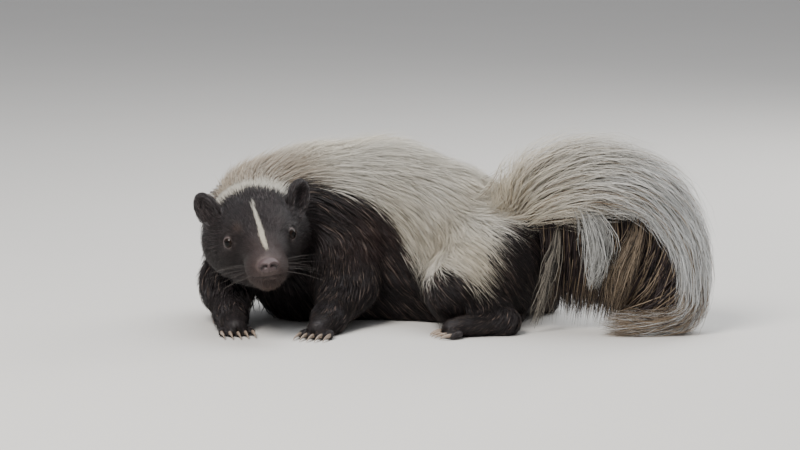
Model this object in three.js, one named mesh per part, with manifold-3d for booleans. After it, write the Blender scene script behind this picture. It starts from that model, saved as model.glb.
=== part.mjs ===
// A life-size striped skunk. It lies curled on its belly, its head raised and turned to the front,
// and its long-haired tail rises from the rump, arches to the side and comes down to the floor.
// Millimetres, +Z up. The face looks along -Y, and the tail lies towards +X.
import * as THREE from "three";
import { mergeVertices } from "three/addons/utils/BufferGeometryUtils.js";
import Module from "manifold-3d";

const wasm = await Module();
wasm.setup();

const at = (x, y, z) => new THREE.Vector3(x, y, z);
const radians = THREE.MathUtils.degToRad;
const mix = THREE.MathUtils.lerp;
const clamp = THREE.MathUtils.clamp;
const upwards = at(0, 0, 1);
const sides = { right: -1, left: 1 };

// Sizes that drive the rest
const gap = 0.3; // between pieces that touch
const standPoint = at(33.5, 64.8, 0); // the point of the floor under the middle of the animal
const eyeRadius = 4.6;
const eyeSpread = 17; // from the midline of the head to an eye
const earHeight = 23;
const earWidth = 18;
const noseWidth = 14.5;
const pawWidth = 23;
const foreClawLength = 13;
const hindClawLength = 7;
const coatCore = 3; // how far the dense underfur stands off the flesh of the trunk
const coatDepth = 12; // how far the tips of the long hair stand off it
const lockLength = 66;
const lockWidth = 31;
const lockDepth = 4.5;
const lockSeed = 11;
const fleshBlend = 10; // how softly two masses of flesh run into each other

// The head's own axes: forward to the nose, left as the animal has it, and up to the crown
const eyesMiddle = at(-98.4, 0, 68.5);
const headYaw = radians(9);
const headPitch = radians(-4);
const headRoll = radians(7);
const headForward = at(
  Math.sin(headYaw) * Math.cos(headPitch),
  -Math.cos(headYaw) * Math.cos(headPitch),
  Math.sin(headPitch),
);
const levelLeft = at(Math.cos(headYaw), Math.sin(headYaw), 0);
const headLeft = levelLeft.clone().applyAxisAngle(headForward, headRoll);
const headUp = headForward.clone().cross(headLeft);
const headAxes = new THREE.Matrix4().makeBasis(headForward, headLeft, headUp).setPosition(eyesMiddle);
const inHead = (forward, left, above) => at(forward, left, above).applyMatrix4(headAxes);
const headWay = (forward, left, above) => at(forward, left, above).transformDirection(headAxes);

// Places along the trunk, at the middle of its flesh
const throat = inHead(-36, 0, -3);
const neckRoot = at(-94, 79, 67);
const withers = at(-62, 96, 68);
const midBack = at(-12, 110, 65);
const loin = at(34, 94, 54);
const rump = at(62, 66, 45);
const tailRoot = at(82, 46, 66);

// A mass of flesh is a rounded stretch between two points, with a radius at each
const mass = (a, startRadius, b = a, endRadius = startRadius) => ({ a, b, startRadius, endRadius });
const pairOf = (make) => Object.values(sides).map(make);

const headMasses = [
  mass(inHead(-30, 0, 0), 28, inHead(-14, 0, 2), 24), // crown
  ...pairOf((side) => mass(inHead(-27, 9 * side, 1), 24, inHead(-12, 7 * side, 1), 20)), // temples
  mass(inHead(-8, 0, 0), 19, inHead(8, 0, -4), 15.5), // forehead
  ...pairOf((side) => mass(inHead(-1, 9.5 * side, 5), 9)), // brows
  ...pairOf((side) => mass(inHead(-26, 18 * side, -8), 18.5, inHead(-6, 15 * side, -10), 12.5)), // cheeks
  mass(inHead(6, 0, -7), 15.5, inHead(35, 0, -11.5), 10), // bridge and snout
  ...pairOf((side) => mass(inHead(30, 6.5 * side, -14.5), 8)), // whisker pads
  mass(inHead(-22, 0, -19), 15, inHead(26, 0, -23), 6.8), // jaw
  ...pairOf((side) => mass(inHead(-24, 13 * side, -15), 14, inHead(2, 9 * side, -18), 9)), // jowls
];
const trunkMasses = [
  mass(throat, 30, neckRoot, 41),
  mass(neckRoot, 41, withers, 48),
  mass(withers, 48, midBack, 52),
  mass(midBack, 52, loin, 46),
  mass(loin, 46, rump, 36),
  mass(at(-84, 68, 40), 28, at(-68, 84, 36), 38), // breast
  mass(at(-62, 86, 34), 38, at(-12, 100, 34), 42), // belly
  mass(at(-12, 100, 34), 42, at(44, 82, 34), 39),
  mass(at(44, 82, 34), 39, at(64, 64, 34), 35),
  mass(at(66, 60, 52), 26, tailRoot, 13),
];

// How far a point lies outside a mass; less than zero is inside
function depthOf(p, { a, b, startRadius, endRadius }) {
  const [dx, dy, dz] = [b.x - a.x, b.y - a.y, b.z - a.z];
  const [px, py, pz] = [p.x - a.x, p.y - a.y, p.z - a.z];
  const share = clamp((px * dx + py * dy + pz * dz) / (dx * dx + dy * dy + dz * dz || 1), 0, 1);
  const away = Math.hypot(px - dx * share, py - dy * share, pz - dz * share);
  return away - mix(startRadius, endRadius, share);
}

// All the masses as one soft body
function fleshOf(masses, blend = fleshBlend) {
  return (p) =>
    masses.reduce((depth, each) => {
      const next = depthOf(p, each);
      const near = Math.max(blend - Math.abs(depth - next), 0) / blend;
      return Math.min(depth, next) - (near * near * blend) / 4;
    }, 1e3);
}

const slopeStep = 0.05;
function slopeOf(flesh, p) {
  const along = (x, y, z) =>
    flesh(at(p.x + x, p.y + y, p.z + z)) - flesh(at(p.x - x, p.y - y, p.z - z));
  return at(along(slopeStep, 0, 0), along(0, slopeStep, 0), along(0, 0, slopeStep)).normalize();
}

const longestStep = 3;
const closeEnough = 0.02;
// Carries a point straight out of, or into, the flesh until it lies on its surface
function onSurface(flesh, start, level = 0) {
  const p = start.clone();
  for (let turn = 0; turn < 60; turn++) {
    const depth = flesh(p) - level;
    if (Math.abs(depth) < closeEnough) break;
    p.addScaledVector(slopeOf(flesh, p), -clamp(depth, -longestStep, longestStep));
  }
  return p;
}

// Rings of points along a path; pointOf says where each point of a ring lies
function ringsAlong(path, around, along, pointOf, reference = upwards) {
  const rings = [];
  for (let row = 0; row <= along; row++) {
    const share = row / along;
    const centre = path.getPoint(share);
    const tangent = path.getTangent(share);
    const side = tangent.clone().cross(reference).normalize();
    const out = side.clone().cross(tangent);
    const ring = [];
    for (let step = 0; step < around; step++) {
      const turn = (2 * Math.PI * (step + around / 4)) / around;
      ring.push(pointOf({ row, share, centre, tangent, side, out }, turn));
    }
    rings.push(ring);
  }
  return rings;
}

// The closed skin over such rings, the first and last of which have shrunk to a point
function skinOver(rings) {
  const [around, along] = [rings[0].length, rings.length - 1];
  const shape = new THREE.SphereGeometry(1, around, along);
  const place = shape.getAttribute("position");
  rings.forEach((ring, row) => {
    for (let step = 0; step <= around; step++) {
      const p = row % along ? ring[step % around] : ring[0];
      place.setXYZ(row * (around + 1) + step, p.x, p.y, p.z);
    }
  });
  return solidOf(shape);
}

// A tube with a half width and a half depth at each share of its length, its tip drawn out by `beyond`
function tube(path, section, around, along, reference, beyond = 0) {
  const pointOf = ({ row, share, centre, tangent, side, out }, turn) => {
    const [across, deep] = row % along ? section(share) : [0, 0];
    const p = centre.clone().addScaledVector(side, across * Math.cos(turn));
    if (row === along) p.addScaledVector(tangent, beyond);
    p.addScaledVector(out, deep * Math.sin(turn));
    return p.setZ(Math.max(p.z, 0));
  };
  return skinOver(ringsAlong(path, around, along, pointOf, reference));
}

const capRows = 4; // rings that close each end
const mostOfTheWay = 0.85;
const eveningRounds = 8; // how often the points are drawn to their neighbours, so that none fold over
// The surface of flesh, found from a path inside it, and flat where it would lie under the floor
function swollen(path, flesh, around, along, levelAt = () => 0) {
  const pointOf = ({ row, share, centre, tangent, side, out }, turn) => {
    const lean = Math.max(1 - (along - row) / capRows, 0) - Math.max(1 - row / capRows, 0);
    const [aside, onward] = [Math.cos((lean * Math.PI) / 2), Math.sin((lean * Math.PI) / 2)];
    const way = tangent.clone().multiplyScalar(onward);
    way.addScaledVector(side, aside * Math.cos(turn)).addScaledVector(out, aside * Math.sin(turn));
    let far = 0;
    while (flesh(centre.clone().addScaledVector(way, far)) < levelAt(share)) far += 2;
    return onSurface(flesh, centre.clone().addScaledVector(way, far * mostOfTheWay), levelAt(share));
  };
  let rings = ringsAlong(path, around, along, pointOf);
  for (let round = 0; round < eveningRounds; round++) {
    rings = rings.map((ring, row) => {
      if (row % along === 0) return ring;
      return ring.map((p, step) => {
        const beside = ring[(step + 1) % around].clone().add(ring[(step + around - 1) % around]);
        const middle = beside.add(rings[row - 1][step]).add(rings[row + 1][step]).multiplyScalar(0.25);
        return onSurface(flesh, middle.lerp(p, 0.5), levelAt(row / along));
      });
    });
  }
  rings.flat().forEach((p) => p.setZ(Math.max(p.z, 0)));
  return skinOver(rings);
}

function solidOf(geometry) {
  const bare = new THREE.BufferGeometry().setAttribute("position", geometry.getAttribute("position"));
  const merged = mergeVertices(bare.setIndex(geometry.index), 1e-3);
  const faces = [];
  const corners = merged.index.array;
  for (let i = 0; i < corners.length; i += 3) {
    const [a, b, c] = [corners[i], corners[i + 1], corners[i + 2]];
    if (a !== b && b !== c && c !== a) faces.push([a, b, c]);
  }
  const vertProperties = new Float32Array(merged.getAttribute("position").array);
  const build = (order) => {
    const triVerts = new Uint32Array(faces.flatMap(([a, b, c]) => order(a, b, c)));
    return new wasm.Manifold(new wasm.Mesh({ numProp: 3, vertProperties, triVerts }));
  };
  const made = build((a, b, c) => [a, b, c]);
  return made.volume() > 0 ? made : build((a, b, c) => [a, c, b]);
}

const joined = (solids) => solids.reduce((whole, next) => whole.add(next));
const largestOf = (solid) =>
  solid.decompose().reduce((most, next) => (next.volume() > most.volume() ? next : most));

// A ball that is stretched along three directions of its own
function ball(centre, radii, ways, around = 12, along = 8) {
  const basis = new THREE.Matrix4().makeBasis(...ways);
  const shape = new THREE.SphereGeometry(1, around, along).scale(...radii).applyMatrix4(basis);
  return solidOf(shape.translate(centre.x, centre.y, centre.z));
}
const straight = [at(1, 0, 0), at(0, 1, 0), at(0, 0, 1)];
const roundBall = (centre, radius, around, along) =>
  ball(centre, [radius, radius, radius], straight, around, along);
// Three square directions, the first along `way` and the second as near as can be to `hint`
function waysFrom(way, hint) {
  const first = way.clone().normalize();
  const third = first.clone().cross(hint).normalize();
  return [first, third.clone().cross(first), third];
}

// A thin disc that parts a solid at a place
function partingDisc(centre, way, radius) {
  const turn = new THREE.Quaternion().setFromUnitVectors(at(0, 1, 0), way.clone().normalize());
  const disc = new THREE.CylinderGeometry(radius, radius, gap, 32).applyQuaternion(turn);
  return solidOf(disc.translate(centre.x, centre.y, centre.z));
}
// The piece of a parted solid that holds a place
function pieceWith(place, pieces) {
  const mark = roundBall(place, 2);
  return pieces.find((piece) => piece.intersect(mark).volume() > 0);
}

// Head, neck and trunk share one skin, which is parted afterwards
const spine = new THREE.CatmullRomCurve3([
  inHead(35, 0, -11.5),
  inHead(31, 0, -11.5),
  inHead(26, 0, -11.5),
  inHead(19, 0, -10),
  inHead(11, 0, -8),
  inHead(3, 0, -6),
  inHead(-6, 0, -4.5),
  inHead(-16, 0, -5.5),
  inHead(-27, 0, -8),
  inHead(-40, 0, -12),
  at(-97, 57, 54),
  at(-79, 75, 50),
  at(-52, 88, 48),
  at(-22, 96, 50),
  at(10, 95, 49),
  at(38, 84, 46),
  at(56, 70, 44),
  at(69, 58, 50),
]);
const trunkStart = 0.56; // share of the spine where the underfur thickens, behind the cheeks
const bodyFlesh = fleshOf([...headMasses, ...trunkMasses]);
function wholeBody(room) {
  const coatAt = (share) => coatCore * THREE.MathUtils.smoothstep(share, trunkStart, trunkStart + 0.14);
  return swollen(spine, bodyFlesh, 32, 52, (share) => coatAt(share) + room);
}

const partings = [
  { centre: inHead(-33, 0, 0), way: headWay(-1, 0.3, -0.35), radius: 64 },
  { centre: at(-92, 74, 66), way: at(0.62, 0.68, -0.4), radius: 80 },
  { centre: at(8, 103, 58), way: at(0.93, -0.36, 0), radius: 85 },
];
const discsOf = (cuts) => joined(cuts.map(({ centre, way, radius }) => partingDisc(centre, way, radius)));
const roomyBody = wholeBody(gap);
const bodyDiscs = discsOf(partings);
const bodySlots = bodyDiscs.intersect(roomyBody);
const bodyPieces = wholeBody(0).subtract(bodyDiscs).decompose();
const roomyPieces = roomyBody.subtract(bodyDiscs).decompose();
// How many partings lie between a point and the front end
const partingsBefore = (cuts, p) =>
  cuts.filter(({ centre, way }) => p.clone().sub(centre).dot(way) > 0).length;

// Eyes, lids, nose and mouth
const headFlesh = fleshOf(headMasses);
function headSurface(start, way) {
  const p = start.clone();
  while (headFlesh(p) < 0) p.addScaledVector(way, 0.2);
  return p;
}
const gazeOf = (side) => headWay(0.8, 0.6 * side, 0.08);
const eyeCentre = (side) => {
  const lid = headSurface(inHead(-6, eyeSpread * side * 0.8, 0), gazeOf(side));
  return lid.addScaledVector(gazeOf(side), -2.4);
};
function eyelids(side) {
  const gaze = gazeOf(side);
  const [, across, above] = waysFrom(gaze, headLeft);
  const basis = new THREE.Matrix4().makeBasis(across, above.negate(), across.clone().cross(above));
  const lid = new THREE.TorusGeometry(4.1, 1.5, 6, 14).scale(1.12, 0.88, 1).applyMatrix4(basis);
  const place = eyeCentre(side).addScaledVector(gaze, 2.2);
  return solidOf(lid.translate(place.x, place.y, place.z));
}
const nosePlace = inHead(43.5, 0, -9.5);
const headWays = [headForward, headLeft, headUp];
const noseBall = (room) =>
  ball(nosePlace, [5.2 + room, noseWidth / 2 + room, 5.2 + room], headWays, 12, 8);
function nostril(side) {
  const hole = [inHead(49.5, 2.6 * side, -9), inHead(47, 4 * side, -9), inHead(45, 6.5 * side, -11.5)];
  const path = new THREE.CatmullRomCurve3(hole);
  return tube(path, () => [1.3, 1.1], 6, 4, headForward);
}
function mouthLine() {
  const lip = [];
  for (let step = -7; step <= 7; step++) {
    const turn = (step / 7) * radians(82);
    const start = inHead(8, 0, -19);
    const way = headWay(Math.cos(turn), Math.sin(turn), 0.02 + 0.1 * Math.abs(Math.sin(turn)));
    lip.push(headSurface(start, way));
  }
  const slit = new THREE.Shape([
    new THREE.Vector2(-0.9, 0),
    new THREE.Vector2(0, -0.8),
    new THREE.Vector2(0.9, 0),
    new THREE.Vector2(0, 0.8),
  ]);
  const path = new THREE.CatmullRomCurve3(lip);
  return solidOf(new THREE.ExtrudeGeometry(slit, { steps: 18, extrudePath: path, bevelEnabled: false }));
}

function makeHead() {
  const skull = joined([pieceWith(inHead(-10, 0, 0), bodyPieces), ...pairOf(eyelids)]);
  const sockets = pairOf((side) => roundBall(eyeCentre(side), eyeRadius + gap, 12, 6));
  return largestOf(skull.subtract(joined([...sockets, noseBall(gap), mouthLine()])));
}
const makeNose = () => noseBall(0).subtract(joined(pairOf(nostril)));

function makeEar(side) {
  const root = inHead(-17, 27 * side, 8);
  const tip = inHead(-23, 36.5 * side, 31);
  const middle = root.clone().lerp(tip, 0.5);
  const opening = headWay(0.85, 0.5 * side, -0.1);
  const ways = waysFrom(tip.clone().sub(root), opening);
  const shell = ball(middle, [earHeight / 2 + 3, 5, earWidth / 2], ways, 14, 8);
  const cup = middle.clone().addScaledVector(ways[1], 4).addScaledVector(ways[0], 1);
  const hollow = ball(cup, [earHeight / 2, 5.5, earWidth / 2 - 2], ways, 12, 8);
  return largestOf(shell.subtract(hollow).subtract(roomyBody));
}

// Legs: soft upper parts, then flat feet with toes and claws
const limbMasses = (points, radii) =>
  points.slice(1).map((p, i) => mass(points[i], radii[i], p, radii[i + 1]));
function limb(points, radii, around, along, room = 0) {
  const flesh = fleshOf(limbMasses(points, radii));
  return swollen(new THREE.CatmullRomCurve3(points), flesh, around, along, () => room);
}

const toeRadius = 2.9;
function paw(wrist, toes, clawLength, room = 0) {
  const way = toes.clone().sub(wrist).setZ(0).normalize();
  const across = way.clone().cross(upwards);
  const pieces = [];
  for (let toe = -2; toe <= 2; toe++) {
    const reach = 1 - 0.07 * toe * toe;
    const base = toes.clone().addScaledVector(across, (toe * pawWidth) / 5).addScaledVector(way, -3);
    const end = base.clone().addScaledVector(way, 9 * reach).addScaledVector(across, toe * 0.9);
    base.setZ(toeRadius + 0.6);
    end.setZ(toeRadius - 0.5);
    pieces.push(limb([base, end], [toeRadius, toeRadius - 0.5], 6, 4, room));
    const claw = new THREE.QuadraticBezierCurve3(
      end.clone().setZ(toeRadius),
      end.clone().addScaledVector(way, 3 + clawLength * 0.5).setZ(toeRadius + 1),
      end.clone().addScaledVector(way, 2 + clawLength).setZ(0.9),
    );
    const section = (share) => [1.3 * (1.05 - share) + room * 3, 1.6 * (1.05 - share) + room * 3];
    pieces.push(tube(claw, section, 4, 3, upwards, room * 4));
  }
  return joined(pieces);
}

const forelegs = {
  left: { shoulder: at(-42, 64, 50), elbow: at(-38, 38, 28), wrist: at(-50, 8, 10), toes: at(-58, -14, 6) },
  right: {
    shoulder: at(-108, 82, 46),
    elbow: at(-124, 54, 26),
    wrist: at(-120, 20, 10),
    toes: at(-115, -3, 6),
  },
};
const armRadii = [27, 18.5, 11, 7.5];
function arm({ shoulder, elbow, wrist, toes }, room = 0) {
  const upper = limb([shoulder, elbow, wrist, toes], armRadii, 10, 12, room);
  return upper.add(paw(wrist, toes, foreClawLength, room));
}

const hindlegs = {
  left: { hip: at(66, 44, 44), knee: at(42, 22, 30), heel: at(74, 2, 9), toes: at(36, -10, 6) },
  right: { hip: at(80, 86, 42), knee: at(76, 114, 28), heel: at(106, 98, 9), toes: at(80, 130, 6) },
};
const thighRadii = [35, 23];
function haunch({ hip, knee, heel, toes }, room = 0) {
  const thigh = limb([hip, knee], thighRadii, 12, 9, room);
  const shank = limb([knee, heel], [16, 9.5], 8, 5, room);
  const foot = limb([heel, toes], [9, 7], 7, 5, room);
  return joined([thigh, shank, foot, paw(heel, toes, hindClawLength, room)]);
}
const clearOfBody = (leg) => largestOf(leg.subtract(roomyBody));
const roomyLegs = joined([
  ...Object.values(forelegs).map((places) => arm(places, gap * 2)),
  ...Object.values(hindlegs).map((places) => haunch(places, gap * 2)),
]);

// A lock of hair is flat, widest before its middle, and drawn out to a point
const lockWidths = [0, 0.5, 1, 0.7, 0];
const lockDepths = [0, 1, 1, 0.7, 0];
function alongTable(table, share) {
  const place = share * (table.length - 1);
  const low = clamp(Math.floor(place), 0, table.length - 2);
  return mix(table[low], table[low + 1], place - low);
}
function lock({ points, normal, width, depth }, room = 0) {
  const section = (share) => [
    (alongTable(lockWidths, share) * width) / 1.75 + room * 4,
    (alongTable(lockDepths, share) * depth) / 1.5 + room,
  ];
  return tube(new THREE.CatmullRomCurve3(points), section, 3, 4, normal, room * 3);
}
const lockRoom = 0.7;
const roomyLocks = (locks) => joined(locks.map((each) => lock(each, lockRoom)));

THREE.MathUtils.seededRandom(lockSeed);
const jitter = (amount) => (THREE.MathUtils.seededRandom() * 2 - 1) * amount;

// Long hair of the neck, back and flanks: it lies tailwards and hangs down over the sides
const coveredFlesh = fleshOf([
  ...headMasses,
  ...trunkMasses,
  ...Object.values(hindlegs).flatMap(({ hip, knee }) => limbMasses([hip, knee], thighRadii)),
  ...Object.values(forelegs).flatMap(({ shoulder, elbow }) => limbMasses([shoulder, elbow], armRadii)),
]);
const hang = 0.9; // how strongly hair on a side turns down
const lockRise = [-4, 4.5, 8, 10.5, coatDepth]; // how far a lock stands off the flesh along its length
const lockStretch = [0, 0.17, 0.27, 0.28, 0.28]; // share of its length between those points
const lowestRoot = 15;
function bodyLock(station, turn) {
  const share = station / (spine.points.length - 1);
  const tangent = spine.getTangent(share);
  const side = tangent.clone().cross(upwards).normalize();
  const out = side.clone().cross(tangent);
  const way = side.multiplyScalar(Math.cos(turn)).addScaledVector(out, Math.sin(turn));
  const skinPoint = spine.getPoint(share);
  while (coveredFlesh(skinPoint) < 0) skinPoint.addScaledVector(way, 1);
  const heading = tangent.clone().addScaledVector(upwards, -hang);
  const swing = jitter(0.1);
  const length = lockLength * (1 + jitter(0.12));
  const points = [];
  let p = skinPoint;
  lockRise.forEach((rise, i) => {
    const slope = slopeOf(coveredFlesh, p);
    heading.addScaledVector(slope.clone().cross(heading), swing);
    const onward = heading.clone().addScaledVector(slope, -heading.dot(slope)).normalize();
    p = onSurface(coveredFlesh, p.clone().addScaledVector(onward, length * lockStretch[i]), rise);
    points.push(p);
  });
  const from = partingsBefore(partings, points[0]);
  const rooted = bodyFlesh(skinPoint) < 2.5 && skinPoint.z > lowestRoot;
  if (!rooted || from < 1 || from !== partingsBefore(partings, points[1])) return null;
  const facing = slopeOf(coveredFlesh, points[2]);
  return { points, normal: facing, width: lockWidth * (1 + jitter(0.12)), depth: lockDepth, from };
}
const lowestTurn = radians(-32);
const highestTurn = radians(212);
const locksPerRow = 7;
const rowPitch = 0.86; // stations from one row to the next
const farthestBack = 0.8; // how many stations forward a root may move to be clear of a parting
const leastApart = 19; // where rows crowd together in the hollow of the bend, some locks are left out
const coatLocks = [];
for (let row = 0; row < 9; row++) {
  for (let i = 0; i < locksPerRow; i++) {
    const turn = mix(lowestTurn, highestTurn, (i + (row % 2 ? 0.75 : 0.25)) / locksPerRow);
    let next = null;
    for (let back = 0; !next && back < farthestBack; back += 0.1) {
      next = bodyLock(9.3 + rowPitch * row - back + jitter(0.05), turn + jitter(0.05));
    }
    const crowded = (each) => each.points[0].distanceTo(next.points[0]) < leastApart;
    if (next && !coatLocks.some(crowded)) coatLocks.push(next);
  }
}
const [neckLocks, frontLocks, rearLocks] = [1, 2, 3].map((from) =>
  coatLocks.filter((each) => each.from === from),
);

// The tail: its bone, and how far its hair reaches from the bone above, below and to the sides
const tailPlaces = [
  at(72, 52, 56),
  at(84, 45, 72),
  at(102, 38, 90),
  at(126, 32, 101),
  at(153, 27, 102),
  at(178, 22, 91),
  at(196, 17, 69),
  at(204, 12, 43),
  at(201, 8, 16),
  at(183, 4, 8),
];
const tailFlow = new THREE.CatmullRomCurve3([...tailPlaces, at(160, 0, 7), at(136, -4, 7)]);
const tailEnd = tailPlaces.length - 1;
const hairAbove = [16, 34, 46, 43, 38, 34, 24, 18, 14, 10, 8, 6];
const hairBelow = [14, 20, 29, 34, 30, 19, 13, 11, 10, 8, 7, 5];
const hairBeside = [14, 20, 27, 30, 30, 27, 24, 20, 16, 12, 10, 8];
const coreShare = 0.45; // how far the dense hair round the bone reaches of the way to the tips
const sideways = at(0, 1, 0);
// A point in the plume: a station along the tail, a turn round it from its upper side, a share of the hair
function inPlume(station, turn, reach) {
  const share = clamp(station / (tailFlow.points.length - 1), 0, 1);
  const tangent = tailFlow.getTangent(share);
  const above = tangent.clone().cross(sideways).normalize();
  const table = Math.cos(turn) > 0 ? hairAbove : hairBelow;
  const p = tailFlow.getPoint(share);
  p.addScaledVector(above, reach * alongTable(table, share) * Math.cos(turn));
  return p.addScaledVector(above.cross(tangent), reach * alongTable(hairBeside, share) * Math.sin(turn));
}
function tailCore(room) {
  const pointOf = ({ row, share }, turn) => {
    const p = inPlume(share * tailEnd, turn, row % 22 ? coreShare : 0);
    const centre = inPlume(share * tailEnd, 0, 0);
    if (row % 22) p.add(p.clone().sub(centre).setLength(room));
    return p.setZ(Math.max(p.z, 0));
  };
  return skinOver(ringsAlong(tailFlow, 10, 22, pointOf, sideways));
}
const plumeWidth = 0.95; // width of a lock of the plume, as a share of how far its hair reaches sideways
const plumeRise = [0.2, 0.55, 0.76, 0.9, 1];
function plumeLock(station, turn, length) {
  const span = length * (1 + jitter(0.1));
  const swing = jitter(0.25);
  const reach = 1 + jitter(0.06);
  const points = plumeRise.map((rise, i) => {
    const p = inPlume(station + (span * i) / 4, turn + (swing * i) / 4, rise * reach);
    return p.setZ(Math.max(p.z, lockDepth / 2));
  });
  const normal = points[2].clone().sub(inPlume(station + span / 2, 0, 0)).normalize();
  const width = plumeWidth * alongTable(hairBeside, (station + span / 2) / (hairBeside.length - 1));
  return { points, normal, width: width * (1 + jitter(0.15)), depth: mix(2, lockDepth, width / lockWidth) };
}
function plumeRows(stations, perRow, length) {
  return stations.flatMap((station, row) => {
    const locks = [];
    for (let i = 0; i < perRow; i++) {
      const turn = (2 * Math.PI * (i + (row % 2) / 2)) / perRow;
      locks.push(plumeLock(station + jitter(0.1), turn + jitter(0.1), length));
    }
    return locks;
  });
}
// Loose locks that fall from the underside of the tail towards the floor
function fallingLock(station, tip, width) {
  const root = inPlume(station, Math.PI, 0.2);
  const under = inPlume(station + 0.35, Math.PI, 0.9);
  const points = [root, under];
  for (const share of [0.35, 0.7, 1]) {
    const p = under.clone().lerp(tip, share);
    points.push(p.addScaledVector(at(1, 0, 0), 9 * Math.sin(Math.PI * share)));
  }
  return { points, normal: at(0.2, -1, 0).normalize(), width, depth: lockDepth };
}
const baseLocks = [
  ...plumeRows([0.9, 2.1], 6, 2.6),
  fallingLock(1.9, at(91, 18, 5), 15),
  fallingLock(2.5, at(116, 24, 16), 15),
  fallingLock(3, at(144, 20, 28), 17),
];
const middleLocks = [
  ...plumeRows([3.8, 4.7], 5, 2.6),
  fallingLock(3.9, at(150, 26, 8), 15),
  fallingLock(4.6, at(158, 14, 12), 17),
];
const lowerLocks = plumeRows([5.95, 6.7], 4, 1.8);
const endLocks = plumeRows([8.6, 9.2], 3, 1.8);
const tailPartings = [3.4, 5.6, 7.7].map((station) => {
  const share = station / (tailFlow.points.length - 1);
  return { centre: tailFlow.getPoint(share), way: tailFlow.getTangent(share), radius: 34 };
});

// Colours and finishes
const furMaterial = (color) => new THREE.MeshStandardMaterial({ color, roughness: 0.85, metalness: 0 });
const blackFur = furMaterial(0x1d181b);
const whiteFur = furMaterial(0xd6d0bd);
const eyeMaterial = new THREE.MeshStandardMaterial({ color: 0x0b090a, roughness: 0.08, metalness: 0 });
const noseMaterial = new THREE.MeshStandardMaterial({ color: 0x4a3536, roughness: 0.5, metalness: 0 });

function meshOf(solid) {
  const { numProp, numVert, vertProperties, triVerts } = solid.getMesh();
  const places = new Float32Array(numVert * 3);
  for (let i = 0; i < numVert; i++) places.set(vertProperties.subarray(i * numProp, i * numProp + 3), i * 3);
  const geometry = new THREE.BufferGeometry().setAttribute("position", new THREE.BufferAttribute(places, 3));
  return geometry.setIndex(new THREE.BufferAttribute(triVerts, 1));
}

const skunk = new THREE.Group();
skunk.position.copy(standPoint).negate();
function addNode(name, solid, material) {
  const geometry = meshOf(solid);
  geometry.computeVertexNormals();
  const mesh = new THREE.Mesh(geometry, material);
  mesh.name = name;
  skunk.add(mesh);
}

function furred(core, locks, slots, inTheWay) {
  const clear = joined(locks.map((each) => lock(each))).subtract(joined(inTheWay));
  return largestOf(core.add(clear).subtract(slots));
}
const [skullPlace, throatPlace] = [inHead(-10, 0, 0), inHead(-44, 0, -8)];
const [chestPlace, loinPlace] = [at(-40, 96, 55), at(36, 88, 50)];
const coats = [
  { name: "neck", place: throatPlace, locks: neckLocks },
  { name: "torso_front", place: chestPlace, locks: frontLocks },
  { name: "torso_rear", place: loinPlace, locks: rearLocks },
];
addNode("head", makeHead(), blackFur);
addNode("nose", makeNose(), noseMaterial);
const roomyTail = tailCore(gap);
const laidBefore = [roomyLegs, roomyTail];
const otherParts = (pieces, own, places) =>
  places.filter((place) => place !== own).map((place) => pieceWith(place, pieces));
const trunkPlaces = [skullPlace, throatPlace, chestPlace, loinPlace];
for (const { name, place, locks } of coats) {
  const others = otherParts(roomyPieces, place, trunkPlaces);
  const core = pieceWith(place, bodyPieces);
  addNode(name, furred(core, locks, bodySlots, [...others, ...laidBefore]), blackFur);
  laidBefore.push(roomyLocks(locks));
}
for (const [name, side] of Object.entries(sides)) {
  addNode("eye_" + name, roundBall(eyeCentre(side), eyeRadius, 12, 6), eyeMaterial);
  addNode("ear_" + name, makeEar(side), blackFur);
  addNode("foreleg_" + name, clearOfBody(arm(forelegs[name])), blackFur);
  addNode("hindleg_" + name, clearOfBody(haunch(hindlegs[name])), blackFur);
}
const tailDiscs = discsOf(tailPartings);
const tailSlots = tailDiscs.intersect(roomyTail);
const tailPieces = tailCore(0).subtract(roomyBody).subtract(tailDiscs).decompose();
const roomyTailPieces = roomyTail.subtract(tailDiscs).decompose();
const tailLengths = [
  { name: "tail_base", place: inPlume(2.2, 0, 0), locks: baseLocks },
  { name: "tail_middle", place: inPlume(4.5, 0, 0), locks: middleLocks },
  { name: "tail_lower", place: inPlume(6.6, 0, 0), locks: lowerLocks },
  { name: "tail_end", place: inPlume(8.4, 0, 0), locks: endLocks },
];
laidBefore.splice(1, 1, roomyBody);
const tailPlacesOf = tailLengths.map(({ place }) => place);
for (const { name, place, locks } of tailLengths) {
  const others = otherParts(roomyTailPieces, place, tailPlacesOf);
  const core = pieceWith(place, tailPieces);
  addNode(name, furred(core, locks, tailSlots, [...others, ...laidBefore]), whiteFur);
  laidBefore.push(roomyLocks(locks));
}

export default skunk;
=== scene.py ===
import math

import bpy
import numpy as np
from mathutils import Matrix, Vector, kdtree


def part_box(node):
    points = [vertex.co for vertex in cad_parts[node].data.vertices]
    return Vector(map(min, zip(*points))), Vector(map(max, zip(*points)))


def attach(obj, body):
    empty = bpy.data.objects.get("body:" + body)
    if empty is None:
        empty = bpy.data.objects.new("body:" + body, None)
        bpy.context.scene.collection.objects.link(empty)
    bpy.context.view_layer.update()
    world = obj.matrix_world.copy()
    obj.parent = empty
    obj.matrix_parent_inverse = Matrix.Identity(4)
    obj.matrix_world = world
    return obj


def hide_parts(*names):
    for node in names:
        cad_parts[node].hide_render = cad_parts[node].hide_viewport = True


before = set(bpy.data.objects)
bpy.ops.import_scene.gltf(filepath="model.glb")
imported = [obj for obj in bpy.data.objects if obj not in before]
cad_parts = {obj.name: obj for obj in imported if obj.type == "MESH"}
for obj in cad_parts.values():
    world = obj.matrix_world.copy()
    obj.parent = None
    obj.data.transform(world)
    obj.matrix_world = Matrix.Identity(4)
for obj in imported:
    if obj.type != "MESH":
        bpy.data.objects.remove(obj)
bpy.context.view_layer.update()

print("frame loaded, nodes:", len(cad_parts))

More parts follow.
